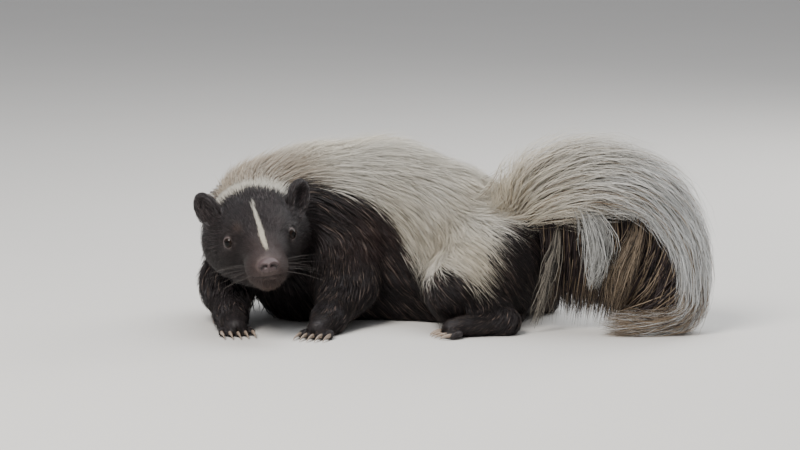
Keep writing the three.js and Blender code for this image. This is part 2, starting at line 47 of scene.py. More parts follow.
# Places are worked out in millimetres from the point of the floor under the picture's middle.
# standPoint is where the frame's own origin lies from there, and a mesh is made in its metres
standPoint = np.array([33.5, 64.8, 0.0])


def toFrame(points):
    return (np.asarray(points, dtype=float) - standPoint) / 1000


def unit(v):
    v = np.asarray(v, dtype=float)
    return v / np.maximum(np.linalg.norm(v, axis=-1, keepdims=True), 1e-9)


def mix(a, b, share):
    return a + (b - a) * share


def smoothStep(x, low, high):
    t = np.clip((x - low) / (high - low), 0, 1)
    return t * t * (3 - 2 * t)


# The camera of the photograph
camera = {"target": (0, 0, 78), "distance": 2333, "elevation": 8, "lens": 150, "sensor": 36}


def makeCamera():
    tilt = math.radians(camera["elevation"])
    back = Vector((0, -math.cos(tilt), math.sin(tilt)))
    data = bpy.data.cameras.new("camera")
    data.lens, data.sensor_width = camera["lens"], camera["sensor"]
    data.clip_start, data.clip_end = 0.05, 50
    obj = bpy.data.objects.new("camera", data)
    bpy.context.scene.collection.objects.link(obj)
    obj.location = Vector(toFrame(camera["target"])) + back * camera["distance"] / 1000
    obj.rotation_mode = "QUATERNION"
    obj.rotation_quaternion = (-back).to_track_quat("-Z", "Y")
    bpy.context.scene.camera = obj


makeCamera()

studio = {
    "floorColor": (0.62, 0.60, 0.57),
    "floorLift": 1.04,  # how much lighter the grain's pale side is
    "floorGrain": 6.0,
    "floorSize": 80.0,
    "skyColor": (0.93, 0.95, 1.0, 1),
    "worldLight": 0.5,
    "lamps": [
        # name, place in metres, size, watts, colour
        ("keyLight", (-0.6, -0.9, 1.3), 0.8, 34, (1.0, 0.97, 0.93)),
        ("topLight", (0.3, 0.4, 1.6), 1.4, 22, (0.93, 0.97, 1.0)),
        ("rimLight", (0.9, 0.9, 0.7), 0.7, 9, (1.0, 0.98, 0.95)),
    ],
}


def makeStudio():
    world = bpy.data.worlds.new("studio")
    bpy.context.scene.world = world
    world.use_nodes = True
    sky = world.node_tree.nodes["Background"]
    sky.inputs["Color"].default_value = studio["skyColor"]
    sky.inputs["Strength"].default_value = studio["worldLight"]
    for name, place, size, watts, color in studio["lamps"]:
        data = bpy.data.lights.new(name, "AREA")
        data.shape, data.size, data.energy, data.color = "DISK", size, watts, color
        lamp = bpy.data.objects.new(name, data)
        bpy.context.scene.collection.objects.link(lamp)
        lamp.location = place
        lamp.rotation_euler = (-Vector(place)).to_track_quat("-Z", "Y").to_euler()
    bpy.ops.object.select_all(action="DESELECT")
    bpy.ops.mesh.primitive_plane_add(size=studio["floorSize"], location=(0, 0, 0))
    floor = bpy.context.object
    floor.name = "floor"
    return floor


class Value:
    # A socket, so that shader maths reads as plain sums
    def __init__(self, tree, link):
        self.tree, self.link = tree, link

    def node(self, kind, settings=None, sockets=None, out=0):
        made = self.tree.nodes.new(kind)
        for key, value in (settings or {}).items():
            setattr(made, key, value)
        for key, value in (sockets or {}).items():
            if isinstance(value, Value):
                self.tree.links.new(value.link, made.inputs[key])
            else:
                made.inputs[key].default_value = value
        return Value(self.tree, made.outputs[out])

    def maths(self, operation, first, second):
        return self.node("ShaderNodeMath", {"operation": operation}, {0: first, 1: second})

    def __mul__(self, other):
        return self.maths("MULTIPLY", self, other)

    def __rmul__(self, other):
        return self.maths("MULTIPLY", other, self)

    def __sub__(self, other):
        return self.maths("SUBTRACT", self, other)

    def __rsub__(self, other):
        return self.maths("SUBTRACT", other, self)

    def colorMix(self, a, b):
        # self is the share of b
        kind = {"data_type": "RGBA", "blend_type": "MIX"}
        pair = [(*c, 1) if isinstance(c, tuple) else c for c in (a, b)]
        return self.node("ShaderNodeMix", kind, {0: self, 6: pair[0], 7: pair[1]}, out=2)


class Finish:
    # One material with its shader; start only knows the tree, so that nodes can be made from it
    def __init__(self, name, **constants):
        self.material = bpy.data.materials.new(name)
        self.material.use_nodes = True
        self.tree = self.material.node_tree
        self.shader = self.tree.nodes["Principled BSDF"]
        for key, value in constants.items():
            self.shader.inputs[key.replace("_", " ")].default_value = value
        self.start = Value(self.tree, None)

    def node(self, kind, settings=None, sockets=None, out=0):
        return self.start.node(kind, settings, sockets, out)

    def place(self):
        return self.node("ShaderNodeTexCoord", out=3)

    def tint(self):
        # The colour that paintTint leaves on the mesh
        return self.node("ShaderNodeVertexColor", {"layer_name": "tint"})

    def noise(self, scale, detail=3.0, place=None):
        sockets = {"Vector": place or self.place(), "Scale": scale, "Detail": detail, "Roughness": 0.55}
        return self.node("ShaderNodeTexNoise", {}, sockets)

    def feed(self, socket, value):
        self.tree.links.new(value.link, self.shader.inputs[socket])

    def bump(self, height, strength, distance):
        sockets = {"Height": height, "Strength": strength, "Distance": distance}
        self.feed("Normal", self.node("ShaderNodeBump", {}, sockets))


def floorFinish():
    finish = Finish("studioFloor", Roughness=0.75)
    dark = studio["floorColor"]
    pale = tuple(c * studio["floorLift"] for c in dark)
    finish.feed("Base Color", finish.noise(studio["floorGrain"]).colorMix(dark, pale))
    return finish.material


floor = makeStudio()
floor.data.materials.append(floorFinish())
print("studio ready")

# The head's own axes: forward to the nose, left as the animal has it, and up to the crown
eyesMiddle = np.array([-98.4, 0.0, 68.5])
headYaw, headPitch, headRoll = (math.radians(a) for a in (9, -4, 7))


def turnAbout(v, axis, angle):
    axis = unit(axis)
    side = np.cross(axis, v)
    return v * math.cos(angle) + side * math.sin(angle) + axis * np.dot(axis, v) * (1 - math.cos(angle))


headForward = np.array([
    math.sin(headYaw) * math.cos(headPitch),
    -math.cos(headYaw) * math.cos(headPitch),
    math.sin(headPitch),
])
headLeft = turnAbout(np.array([math.cos(headYaw), math.sin(headYaw), 0.0]), headForward, headRoll)
headUp = np.cross(headForward, headLeft)
headAxes = np.array([headForward, headLeft, headUp])


def inHead(forward, left, above):
    return eyesMiddle + np.array([forward, left, above], dtype=float) @ headAxes


def headWay(forward, left, above):
    return unit(np.array([forward, left, above], dtype=float) @ headAxes)


def toHead(points):
    return (points - eyesMiddle) @ headAxes.T


# The flesh is a set of rounded masses that run softly into each other, as in the solids.
# Each carries the coat that grows on it: how long, how far it stands off, and how far the
# skin lies under the solid's surface
class Masses:
    def __init__(self):
        self.rows = []

    def add(self, a, startRadius, b=None, endRadius=None, hair=30, height=12, inset=0, way=None, hang=0.9):
        a = np.asarray(a, dtype=float)
        b = a if b is None else np.asarray(b, dtype=float)
        endRadius = startRadius if endRadius is None else endRadius
        way = unit(b - a) if way is None else np.asarray(way, dtype=float)
        self.rows.append((a, b, startRadius, endRadius, hair, height, inset, way, hang))

    def both(self, make):
        for side in (-1, 1):
            make(side)


head, trunk, limbs, toes = Masses(), Masses(), Masses(), Masses()
backwards = -headForward
crown = dict(hair=9, height=4, inset=1.2, hang=0.2)
face = dict(hair=4.5, height=1.8, inset=1.2, hang=0.1)
muzzle = dict(hair=4.2, height=1.5, inset=0.9, hang=0.1)
cheek = dict(hair=9, height=3.5, inset=1.4, hang=0.5)
head.add(inHead(-30, 0, 0), 28, inHead(-14, 0, 2), 24, way=backwards, **crown)
head.both(lambda s: head.add(inHead(-27, 9 * s, 1), 24, inHead(-12, 7 * s, 1), 20, way=backwards, **crown))
head.add(inHead(-8, 0, 0), 19, inHead(8, 0, -4), 15.5, way=backwards, **face)
head.both(lambda s: head.add(inHead(-1, 9.5 * s, 5), 9, way=backwards, **face))
head.both(lambda s: head.add(inHead(-26, 18 * s, -8), 18.5, inHead(-6, 15 * s, -10), 12.5,
                             way=headWay(-1, 0.35 * s, -0.25), **cheek))
head.add(inHead(6, 0, -7), 15.5, inHead(35, 0, -11.5), 10, way=backwards, **muzzle)
head.both(lambda s: head.add(inHead(30, 6.5 * s, -14.5), 8, way=headWay(-1, 0.5 * s, -0.3), **muzzle))
head.add(inHead(-22, 0, -19), 15, inHead(26, 0, -23), 6.8, way=headWay(-1, 0, -0.35), **face)
head.both(lambda s: head.add(inHead(-24, 13 * s, -15), 14, inHead(2, 9 * s, -18), 9,
                             way=headWay(-1, 0.3 * s, -0.4), **cheek))

throat, neckRoot, withers = inHead(-36, 0, -3), (-94, 79, 67), (-62, 96, 68)
midBack, loin, rump, tailRoot = (-12, 110, 65), (34, 94, 54), (62, 66, 45), (82, 46, 66)
trunk.add(throat, 30, neckRoot, 41, hair=24, height=9)
trunk.add(neckRoot, 41, withers, 48, hair=32)
trunk.add(withers, 48, midBack, 52, hair=36)
trunk.add(midBack, 52, loin, 46, hair=40, hang=1.1)
trunk.add(loin, 46, rump, 36, hair=32, height=5.5, hang=1.2)
trunk.add((-84, 68, 40), 28, (-68, 84, 36), 38, hair=26)
trunk.add((-62, 86, 34), 38, (-12, 100, 34), 42, hair=28)
trunk.add((-12, 100, 34), 42, (44, 82, 34), 39, hair=28)
trunk.add((44, 82, 34), 39, (64, 64, 34), 35, hair=28)
trunk.add((66, 60, 52), 26, tailRoot, 13, hair=30, height=4, hang=0.2)

# Shoulder or hip, elbow or knee, wrist or heel, and toes; 1 is the animal's left side
forelegs = {
    1: [(-42, 64, 50), (-38, 38, 28), (-50, 8, 10), (-58, -14, 6)],
    -1: [(-108, 82, 46), (-124, 54, 26), (-120, 20, 10), (-115, -3, 6)],
}
hindlegs = {
    1: [(66, 44, 44), (42, 22, 30), (74, 2, 9), (36, -10, 6)],
    -1: [(80, 86, 42), (76, 114, 28), (106, 98, 9), (80, 130, 6)],
}
upperLeg = dict(hair=20, height=6, inset=2.2, hang=0.6)
lowerLeg = dict(hair=11, height=3, inset=1.8, hang=0.5)
footCoat = dict(hair=8, height=2.2, inset=0.9, hang=0.1)
for places in forelegs.values():
    a, b, c, d = places
    limbs.add(a, 27, b, 18.5, **upperLeg)
    limbs.add(b, 18.5, c, 11, **lowerLeg)
    limbs.add(c, 11, d, 7.5, **footCoat)
for side, places in hindlegs.items():
    a, b, c, d = places
    limbs.add(a, 35, b, 23, hair=32, height=10, inset=2.2, way=unit((0.75, -0.15 * side, -0.7)), hang=0.2)
    limbs.add(b, 16, c, 9.5, **lowerLeg)
    limbs.add(c, 9, d, 7, **footCoat)

paw = {
    "toes": 5,
    "width": 23,
    "radius": 2.9,
    "toeLength": 9,
    "foreClaw": 13,
    "hindClaw": 7,
    "clawWidth": 2.6,
    "clawDepth": 1.3,  # as a share of its width
}


def toeLine(wrist, end, toe):
    # Where a toe starts and ends, and the way that it points
    wrist, end = np.asarray(wrist, dtype=float), np.asarray(end, dtype=float)
    way = end - wrist
    way[2] = 0
    way = unit(way)
    across = np.cross(way, (0, 0, 1))
    reach = 1 - 0.07 * toe * toe
    start = end + across * (toe * paw["width"] / paw["toes"]) - way * 3
    stop = start + way * paw["toeLength"] * reach + across * toe * 0.9
    start[2], stop[2] = paw["radius"] + 0.6, paw["radius"] - 0.5
    return start, stop, way


clawRoots = []
for clawLength, pairs in ((paw["foreClaw"], forelegs), (paw["hindClaw"], hindlegs)):
    for places in pairs.values():
        for toe in range(-(paw["toes"] // 2), paw["toes"] // 2 + 1):
            start, stop, way = toeLine(places[-2], places[-1], toe)
            toes.add(start, paw["radius"], stop, paw["radius"] - 0.5, hair=4, height=0.9, inset=0.4, hang=0)
            clawRoots.append((stop, way, clawLength))

# The tail's bone, and how far its hair reaches above, below and beside it at each station
tailPlaces = np.array([
    (72, 52, 56), (84, 45, 72), (102, 38, 90), (126, 32, 101), (153, 27, 102), (178, 22, 91),
    (196, 17, 69), (204, 12, 43), (201, 8, 16), (183, 4, 8), (160, 0, 7), (136, -4, 7),
], dtype=float)
hairAbove = [16, 34, 46, 43, 38, 34, 24, 18, 14, 10, 8, 6]
hairBelow = [14, 20, 29, 34, 30, 19, 13, 11, 10, 8, 7, 5]
hairBeside = [14, 20, 27, 30, 30, 27, 24, 20, 16, 12, 10, 8]
tailRadii = [13, 11, 9, 8, 7.5, 7, 6.5, 6, 5, 4, 3, 2]
tail = Masses()
for i in range(10):
    tail.add(tailPlaces[i], tailRadii[i], tailPlaces[i + 1], tailRadii[i + 1], hair=40, height=14, hang=0)


ear = {
    "height": 23,
    "width": 18,
    "softness": 3.0,
    "roughShell": (14.3, 4.8, 8.8),  # half sizes of the two eggs that the skin starts from
    "roughHollow": (11.5, 5.5, 7.0),
}


def earFrame(side):
    # Middle of the ear, and its ways: up to the tip, towards its opening, and across
    root, tip = inHead(-17, 27 * side, 8), inHead(-23, 36.5 * side, 31)
    along = unit(tip - root)
    opening = headWay(0.85, 0.5 * side, -0.1)
    across = unit(np.cross(along, opening))
    return (root + tip) / 2, np.array([along, np.cross(across, along), across])


def eggDepth(p, radii):
    near = np.linalg.norm(p / radii, axis=1)
    return near * (near - 1) / np.maximum(np.linalg.norm(p / radii ** 2, axis=1), 1e-6)


def earDepth(p, side):
    middle, ways = earFrame(side)
    q = (p - middle) @ ways.T
    shell = eggDepth(q, np.array([ear["height"] / 2 + 3, 5, ear["width"] / 2]) - 0.4)
    hollow = eggDepth(q - np.array([1, 4, 0]), np.array([ear["height"] / 2, 5.5, ear["width"] / 2 - 2]))
    return -Flesh.soften(-shell, hollow, 1.2)


class Flesh:
    # Depth below zero is inside; groups meet each other with a softness of their own
    def __init__(self, *groups, ears=True):
        self.groups, self.ears = groups, ears

    @staticmethod
    def capsule(p, row):
        a, b, startRadius, endRadius, _, _, inset = row[:7]
        d = b - a
        share = np.clip(((p - a) @ d) / max(d @ d, 1e-9), 0, 1)
        away = np.linalg.norm(p - a - share[:, None] * d, axis=1)
        return away - mix(startRadius, endRadius, share) + inset

    @staticmethod
    def soften(first, second, blend):
        near = np.maximum(blend - np.abs(first - second), 0) / blend
        return np.minimum(first, second) - near * near * blend / 4

    def __call__(self, p):
        whole = None
        for masses, blend in self.groups:
            part = None
            for row in masses.rows:
                depth = self.capsule(p, row)
                part = depth if part is None else self.soften(part, depth, blend)
            whole = part if whole is None else self.soften(whole, part, blend)
        if self.ears:
            for side in (-1, 1):
                near = np.linalg.norm(p - earFrame(side)[0], axis=1) < 26
                if near.any():
                    whole[near] = self.soften(whole[near], earDepth(p[near], side), ear["softness"])
        return whole

    def slope(self, p, step=0.1):
        corners = np.array([(1, -1, -1), (-1, -1, 1), (-1, 1, -1), (1, 1, 1)], dtype=float)
        return unit(sum(c * self(p + c * step)[:, None] for c in corners))

    def onSurface(self, p, level=0.0, rounds=4):
        for _ in range(rounds):
            depth = self(p) - level
            p = p - self.slope(p) * np.clip(depth, -3, 3)[:, None]
        return p


flesh = Flesh((head, 10), (trunk, 10), (limbs, 8), (tail, 6), (toes, 2))
bodyFlesh = Flesh((head, 10), (trunk, 10), (limbs, 8), (toes, 2))  # without the tail's bone
headOnly = Flesh((head, 10), ears=False)


def headShare(p):
    # 1 on the head, 0 from the neck backwards
    q = toHead(p)
    wide = 1 - smoothStep(np.abs(q[:, 1]), 38, 44)
    return smoothStep(q[:, 0], -44, -36) * wide * smoothStep(q[:, 2], -50, -42)


nose = {
    "radii": (5.2, 7.25, 5.2),
    "place": (43.5, 0, -9.5),
    "nostril": [(5.2, 2.4, 0.2), (4.0, 3.9, 0.2), (1.5, 6.3, -2.0)],  # its line on one side
    "nostrilDepth": 2.2,
    "leather": (0.082, 0.051, 0.052),
}
noseTip = inHead(46, 0, -9)
earCoat = Masses()
for side in (-1, 1):
    middle, ways = earFrame(side)
    earCoat.add(middle - ways[0] * 6, 9, middle + ways[0] * 8, 8, hair=5, height=1.3, way=ways[0], hang=0)
coatRows = [row for masses, _ in flesh.groups for row in masses.rows] + earCoat.rows
coatFacts = np.array([(row[4], row[5], row[8], *row[7]) for row in coatRows])


def coatAt(p):
    # Blends what the nearest masses carry: length of the hair, its height, hang and way
    depths = np.stack([Flesh.capsule(p, row) for row in coatRows])
    weights = np.exp(-(depths - depths.min(axis=0)) / 5)
    facts = (weights / weights.sum(axis=0)).T @ coatFacts
    q = toHead(p)
    face = (smoothStep(q[:, 0], -30, -5) * headShare(p))[:, None]
    facts[:, 3:6] = unit(facts[:, 3:6]) + face * 1.2 * unit(p - noseTip)
    return facts


print("flesh laid out:", sum(len(m.rows) for m, _ in flesh.groups), "masses")


def meshFrom(name, points, faces):
    # points in millimetres, faces all triangles or all quads
    mesh = bpy.data.meshes.new(name)
    faces = np.asarray(faces)
    mesh.vertices.add(len(points))
    mesh.vertices.foreach_set("co", toFrame(points).astype(np.float32).ravel())
    mesh.loops.add(faces.size)
    mesh.loops.foreach_set("vertex_index", faces.astype(np.int32).ravel())
    mesh.polygons.add(len(faces))
    mesh.polygons.foreach_set("loop_start", np.arange(0, faces.size, faces.shape[1], dtype=np.int32))
    shadeSmooth(mesh)
    mesh.update(calc_edges=True)
    obj = bpy.data.objects.new(name, mesh)
    bpy.context.scene.collection.objects.link(obj)
    return obj


def pickOnly(obj):
    bpy.ops.object.select_all(action="DESELECT")
    obj.select_set(True)
    bpy.context.view_layer.objects.active = obj


def shadeSmooth(mesh):
    mesh.polygons.foreach_set("use_smooth", np.ones(len(mesh.polygons), dtype=bool))


def applyModifier(obj, kind, **settings):
    pickOnly(obj)
    modifier = obj.modifiers.new(kind.lower(), kind)
    for key, value in settings.items():
        setattr(modifier, key, value)
    bpy.ops.object.modifier_apply(modifier=modifier.name)


def pointsOf(obj):
    flat = np.empty(len(obj.data.vertices) * 3, dtype=np.float32)
    obj.data.vertices.foreach_get("co", flat)
    return flat.reshape(-1, 3).astype(float) * 1000 + standPoint


def movePoints(obj, points):
    obj.data.vertices.foreach_set("co", toFrame(points).astype(np.float32).ravel())
    obj.data.update()


# Skin: rough balls along every mass, remeshed to one closed surface and drawn onto the flesh
skinShape = {"voxel": 0.0016, "ballStep": 5.0, "lowest": 0.15}


def unitBall(level):
    bpy.ops.object.select_all(action="DESELECT")
    bpy.ops.mesh.primitive_ico_sphere_add(subdivisions=level, radius=1)
    ball = bpy.context.object
    points = np.array([v.co[:] for v in ball.data.vertices])
    faces = np.array([p.vertices[:] for p in ball.data.polygons])
    bpy.data.objects.remove(ball)
    return points, faces


def eggMesh(name, middle, ways, radii):
    points, faces = unitBall(4)
    return meshFrom(name, middle + (points * radii) @ ways, faces)


def roughEar(side):
    # An egg with a second one cut from its front
    middle, ways = earFrame(side)
    shell = eggMesh("ear", middle, ways, np.array(ear["roughShell"]))
    hollow = eggMesh("hollow", middle + ways[1] * 4 + ways[0], ways, np.array(ear["roughHollow"]))
    applyModifier(shell, "BOOLEAN", operation="DIFFERENCE", object=hollow, solver="EXACT")
    points = pointsOf(shell)
    faces = [list(face.vertices) for face in shell.data.polygons]
    bpy.data.objects.remove(hollow)
    bpy.data.objects.remove(shell)
    return points, faces


def earShare(p):
    # How far a point belongs to an ear rather than to the skull
    best = np.zeros(len(p))
    for side in (-1, 1):
        middle, ways = earFrame(side)
        q = (p - middle) @ ways.T
        near = 1 - smoothStep(np.linalg.norm(q / np.array([17, 9, 12]), axis=1), 0.9, 1.1)
        best = np.maximum(best, near * smoothStep(q[:, 0], -9, -3))
    return best


def roughBody():
    ballPoints, ballFaces = unitBall(2)
    points, faces, count = [], [], 0
    for masses, _ in flesh.groups:
        for a, b, startRadius, endRadius, _, _, inset, _, _ in masses.rows:
            steps = max(1, math.ceil(np.linalg.norm(b - a) / skinShape["ballStep"]))
            for i in range(steps + 1):
                radius = mix(startRadius, endRadius, i / steps) - inset
                points.append(ballPoints * radius + mix(a, b, i / steps))
                faces.append(ballFaces + count)
                count += len(ballPoints)
    allFaces = np.concatenate(faces).tolist()
    for side in (-1, 1):
        earPoints, earFaces = roughEar(side)
        points.append(earPoints)
        allFaces += [[i + count for i in face] for face in earFaces]
        count += len(earPoints)
    mesh = bpy.data.meshes.new("skin")
    mesh.from_pydata(toFrame(np.concatenate(points)).tolist(), [], allFaces)
    obj = bpy.data.objects.new("skin", mesh)
    bpy.context.scene.collection.objects.link(obj)
    return obj


eye = {"radius": 4.6, "lidWidth": 1.0, "ring": 4.75, "forward": 2.15, "squeeze": (1.14, 0.82),
       "tints": [(0.010, 0.006, 0.005), (0.011, 0.006, 0.004), (0.003, 0.003, 0.003)]}  # rim, iris, pupil


def eyeCentre(side):
    corner = np.array([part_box("eye_left" if side > 0 else "eye_right")])
    return corner.reshape(2, 3).mean(axis=0) * 1000 + standPoint


def eyeDistance(p):
    return np.min([np.linalg.norm(p - eyeCentre(side), axis=1) for side in (-1, 1)], axis=0)


def gazeOf(side):
    return headWay(0.8, 0.6 * side, 0.08)


def ringDistance(p, centre, axis, radius, squeeze):
    # From a ring about an axis; squeeze flattens it along the head's up
    up = unit(headUp - axis * (headUp @ axis))
    across = np.cross(up, axis)
    q = p - centre
    x, y, z = q @ across / squeeze[0], q @ up / squeeze[1], q @ axis
    return np.hypot(np.hypot(x, y) - radius, z)


def lidDistance(p, side):
    centre, gaze = eyeCentre(side), gazeOf(side)
    return ringDistance(p, centre + gaze * eye["forward"], gaze, eye["ring"], eye["squeeze"])


mouth = {"middle": (8, 0, -19), "halfTurn": 60, "steps": 12, "depth": 0.9, "width": 0.8, "lipHeight": 0.25}


def mouthCurve():
    # Rays from inside the jaw to where they leave the head
    points = []
    for step in range(-mouth["steps"], mouth["steps"] + 1):
        turn = step / mouth["steps"] * math.radians(mouth["halfTurn"])
        start = inHead(*mouth["middle"])
        way = headWay(math.cos(turn), math.sin(turn), 0.02 - 0.06 * abs(math.sin(turn)))
        reach = np.arange(0, 60, 0.25)
        depths = headOnly(start + reach[:, None] * way)
        points.append(start + reach[np.argmax(depths > 0)] * way)
    return np.array(points)


mouthLine = mouthCurve()


def lineDistance(p, line):
    best = np.full(len(p), 1e9)
    for a, b in zip(line, line[1:]):
        d = b - a
        share = np.clip(((p - a) @ d) / (d @ d), 0, 1)
        best = np.minimum(best, np.linalg.norm(p - a - share[:, None] * d, axis=1))
    return best


class FaceFlesh(Flesh):
    # The flesh with what the face needs: lids round the eyes, sockets for them, and lips
    def __call__(self, p):
        depth = super().__call__(p)
        for side in (-1, 1):
            centre = eyeCentre(side)
            near = np.linalg.norm(p - centre, axis=1) < 14
            if not near.any():
                continue
            q = p[near]
            lid = lidDistance(q, side) - eye["lidWidth"]
            part = self.soften(depth[near], lid, 2.0)
            socket = eye["radius"] + 0.25 - np.linalg.norm(q - centre, axis=1)
            depth[near] = -self.soften(-part, -socket, 0.3)
        lips = lineDistance(p, mouthLine)
        depth = depth + mouth["depth"] * np.exp(-(lips / mouth["width"]) ** 2)
        return depth - mouth["lipHeight"] * np.exp(-((lips - 2.2) / 1.3) ** 2)


faceFlesh = FaceFlesh(*flesh.groups)


def subdivideNear(obj, chosen):
    pickOnly(obj)
    bpy.ops.object.mode_set(mode="EDIT")
    bpy.ops.mesh.select_all(action="DESELECT")
    bpy.ops.object.mode_set(mode="OBJECT")
    obj.data.vertices.foreach_set("select", chosen.astype(bool))
    picked = np.array([all(chosen[v] for v in f.vertices) for f in obj.data.polygons])
    obj.data.polygons.foreach_set("select", picked)
    edges = np.empty(len(obj.data.edges) * 2, dtype=np.int32)
    obj.data.edges.foreach_get("vertices", edges)
    obj.data.edges.foreach_set("select", chosen[edges.reshape(-1, 2)].all(axis=1))
    bpy.ops.object.mode_set(mode="EDIT")
    bpy.ops.mesh.select_mode(type="FACE")
    bpy.ops.mesh.subdivide(number_cuts=1)
    bpy.ops.object.mode_set(mode="OBJECT")


def makeSkin():
    skin = roughBody()
    applyModifier(skin, "REMESH", mode="VOXEL", voxel_size=skinShape["voxel"])
    points = flesh.onSurface(pointsOf(skin), rounds=5)
    movePoints(skin, points)
    inside = toHead(points)
    front = (inside[:, 0] > -16) & (inside[:, 2] > -32) & (np.abs(inside[:, 1]) < 24) & (points[:, 1] < 20)
    subdivideNear(skin, front | (earShare(points) > 0.02))
    points = pointsOf(skin)
    subdivideNear(skin, (eyeDistance(points) < 9) | (lineDistance(points, mouthLine) < 3.5))
    points = pointsOf(skin)
    inside = toHead(points)
    front = (inside[:, 0] > -40) & (np.abs(inside[:, 1]) < 50) & (points[:, 1] < 60)
    points[front] = faceFlesh.onSurface(points[front], rounds=6)
    points[:, 2] = np.maximum(points[:, 2], skinShape["lowest"])
    movePoints(skin, points)
    shadeSmooth(skin.data)
    return skin


skin = makeSkin()
print("skin made:", len(skin.data.polygons), "faces")

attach(skin, "root")
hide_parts("head", "neck", "torso_front", "torso_rear", "ear_left", "ear_right",
            "foreleg_left", "foreleg_right", "hindleg_left", "hindleg_right",
            "tail_base", "tail_middle", "tail_lower", "tail_end")

# Where the coat is white: the broad mantle, the cap between the ears, the blaze and the tail
spineLine = np.array([
    inHead(-40, 0, -12), (-97, 57, 54), (-79, 75, 50), (-52, 88, 48), (-22, 96, 50), (10, 95, 49),
    (38, 84, 46), (56, 70, 44), (69, 58, 50), (84, 45, 72),
])
mantle = {
    # on the near side, the height of the border along the body
    "nearX": [-92, -81, -66, -53, -40, -27, -20, -12, -6, 5, 16, 28, 40, 46, 50, 54, 60, 70, 90],
    "nearZ": [92, 96, 98, 94, 94, 90, 84, 75, 60, 56, 52, 47, 40, 42, 52, 63, 73, 76, 76],
    # on the far side, how far round the spine the white reaches, in degrees
    "farEdge": [42, 36, 40, 44, 56, 72, 80, 84, 92, 100],
    "soft": 7,
    "loneTuft": ((-72, 21, 87), 5.0),  # a white spot's place and radius
}


def alongSpine(p):
    # Which stretch of the spine a point lies at, and how far round it, in degrees from the top
    best = np.full(len(p), 1e9)
    station = np.zeros(len(p))
    turn = np.zeros(len(p))
    for i, (a, b) in enumerate(zip(spineLine, spineLine[1:])):
        d = b - a
        share = np.clip(((p - a) @ d) / (d @ d), 0, 1)
        off = p - a - share[:, None] * d
        away = np.linalg.norm(off, axis=1)
        side = unit(np.cross(d, (0, 0, 1)))
        over = np.cross(side, unit(d))
        angle = np.degrees(np.arctan2(off @ side, off @ over))
        closer = away < best
        best[closer], station[closer], turn[closer] = away[closer], (i + share)[closer], angle[closer]
    return station, turn


def waves(p, size, seed):
    # Smooth noise from a few sines, about -1 to 1
    rng = np.random.default_rng(seed)
    total = np.zeros(len(p))
    for _ in range(6):
        way = unit(rng.normal(size=3)) / size * rng.uniform(0.7, 1.5) * 2 * math.pi
        total += np.sin(p @ way + rng.uniform(0, 6.3))
    return total / 2.6


def whiteness(p):
    station, turn = alongSpine(p)
    farEdge = np.interp(station, np.arange(len(spineLine)), mantle["farEdge"]) + 5 * waves(p, 26, 5)
    far = 1 - smoothStep(np.abs(turn) - farEdge, -mantle["soft"], mantle["soft"])
    nearEdge = np.interp(p[:, 0], mantle["nearX"], mantle["nearZ"]) + 2 * waves(p, 22, 6)
    near = smoothStep(p[:, 2] - nearEdge, -2, 2)
    white = np.where(turn > 0, near, far)
    place, size = mantle["loneTuft"]
    away = np.linalg.norm(p - np.array(place), axis=1)
    white = np.maximum(white, 1 - smoothStep(away, size - 2, size + 2))
    q = toHead(p)
    cap = (1 - smoothStep(q[:, 0], -22, -19)) * smoothStep(q[:, 2], 13, 17)
    cap = cap * (1 - smoothStep(np.abs(q[:, 1]), 22, 26))
    white = mix(white, cap, headShare(p)) * (1 - earShare(p))
    middle = -0.8 + 0.05 * q[:, 0]
    wide = np.interp(q[:, 0], [-4, -2, 8, 22, 32, 36], [0, 0.5, 1.1, 1.6, 1.1, 0])
    blaze = 1 - smoothStep(np.abs(q[:, 1] - middle) - wide, -0.4, 0.4)
    blaze = blaze * (q[:, 2] > -8) * (q[:, 0] > -8) * (q[:, 0] < 37) * headShare(p)
    return np.clip(np.maximum(white * (p[:, 2] > 3), blaze), 0, 1)


tints = {
    "black": (0.009, 0.006, 0.007),
    "brown": (0.045, 0.026, 0.024),
    "white": (0.80, 0.76, 0.67),
    "cream": (0.76, 0.67, 0.51),
    # painted cool shade of white hair
    "shadedBlueWhite": (0.77, 0.79, 0.80),
    "muzzle": (0.056, 0.036, 0.033),
    "tan": (0.20, 0.13, 0.10),
    "lid": (0.10, 0.075, 0.070),
    "nape": (0.36, 0.27, 0.19),
    "beige": (0.36, 0.27, 0.18),
    "greyBeige": (0.36, 0.32, 0.26),
    "lockWhite": (0.70, 0.70, 0.67),
    # the next two are painted glint colours for hair tips
    "greyGlint": (0.14, 0.11, 0.11),
    "paleGlint": (0.30, 0.22, 0.18),
    "whisker": (0.22, 0.19, 0.17),
}
tints = {name: np.array(color) for name, color in tints.items()}
markingsAndSheen = [
    # middle, radius, tint, strength
    (inHead(9, -12.5, 8.5), 2.6, "tan", 0.6),
    (inHead(11, 12, 9), 3.5, "muzzle", 0.5),
    (eyeCentre(-1) + gazeOf(-1) * 3, 7.0, "muzzle", 0.6),
    (eyeCentre(1) + gazeOf(1) * 3, 6.0, "muzzle", 0.4),
    # painted sheen: a brown spot on the shoulder's black fur, where light glances off it
    ((-32, 46, 74), 22.0, "brown", 0.9),
    (inHead(28, 0, -28), 10.0, "tan", 0.75),
]


def darkTint(p):
    q = toHead(p)
    snout = smoothStep(q[:, 0], 10, 36) * headShare(p)
    dark = mix(tints["black"], tints["muzzle"], snout[:, None])
    # each entry is a patch of the coat's own colour, except the shoulder's brown, which is a painted sheen
    for middle, radius, name, strength in markingsAndSheen:
        near = strength * np.exp(-(np.linalg.norm(p - np.array(middle), axis=1) / radius) ** 2)
        dark = mix(dark, tints[name], near[:, None])
    return dark


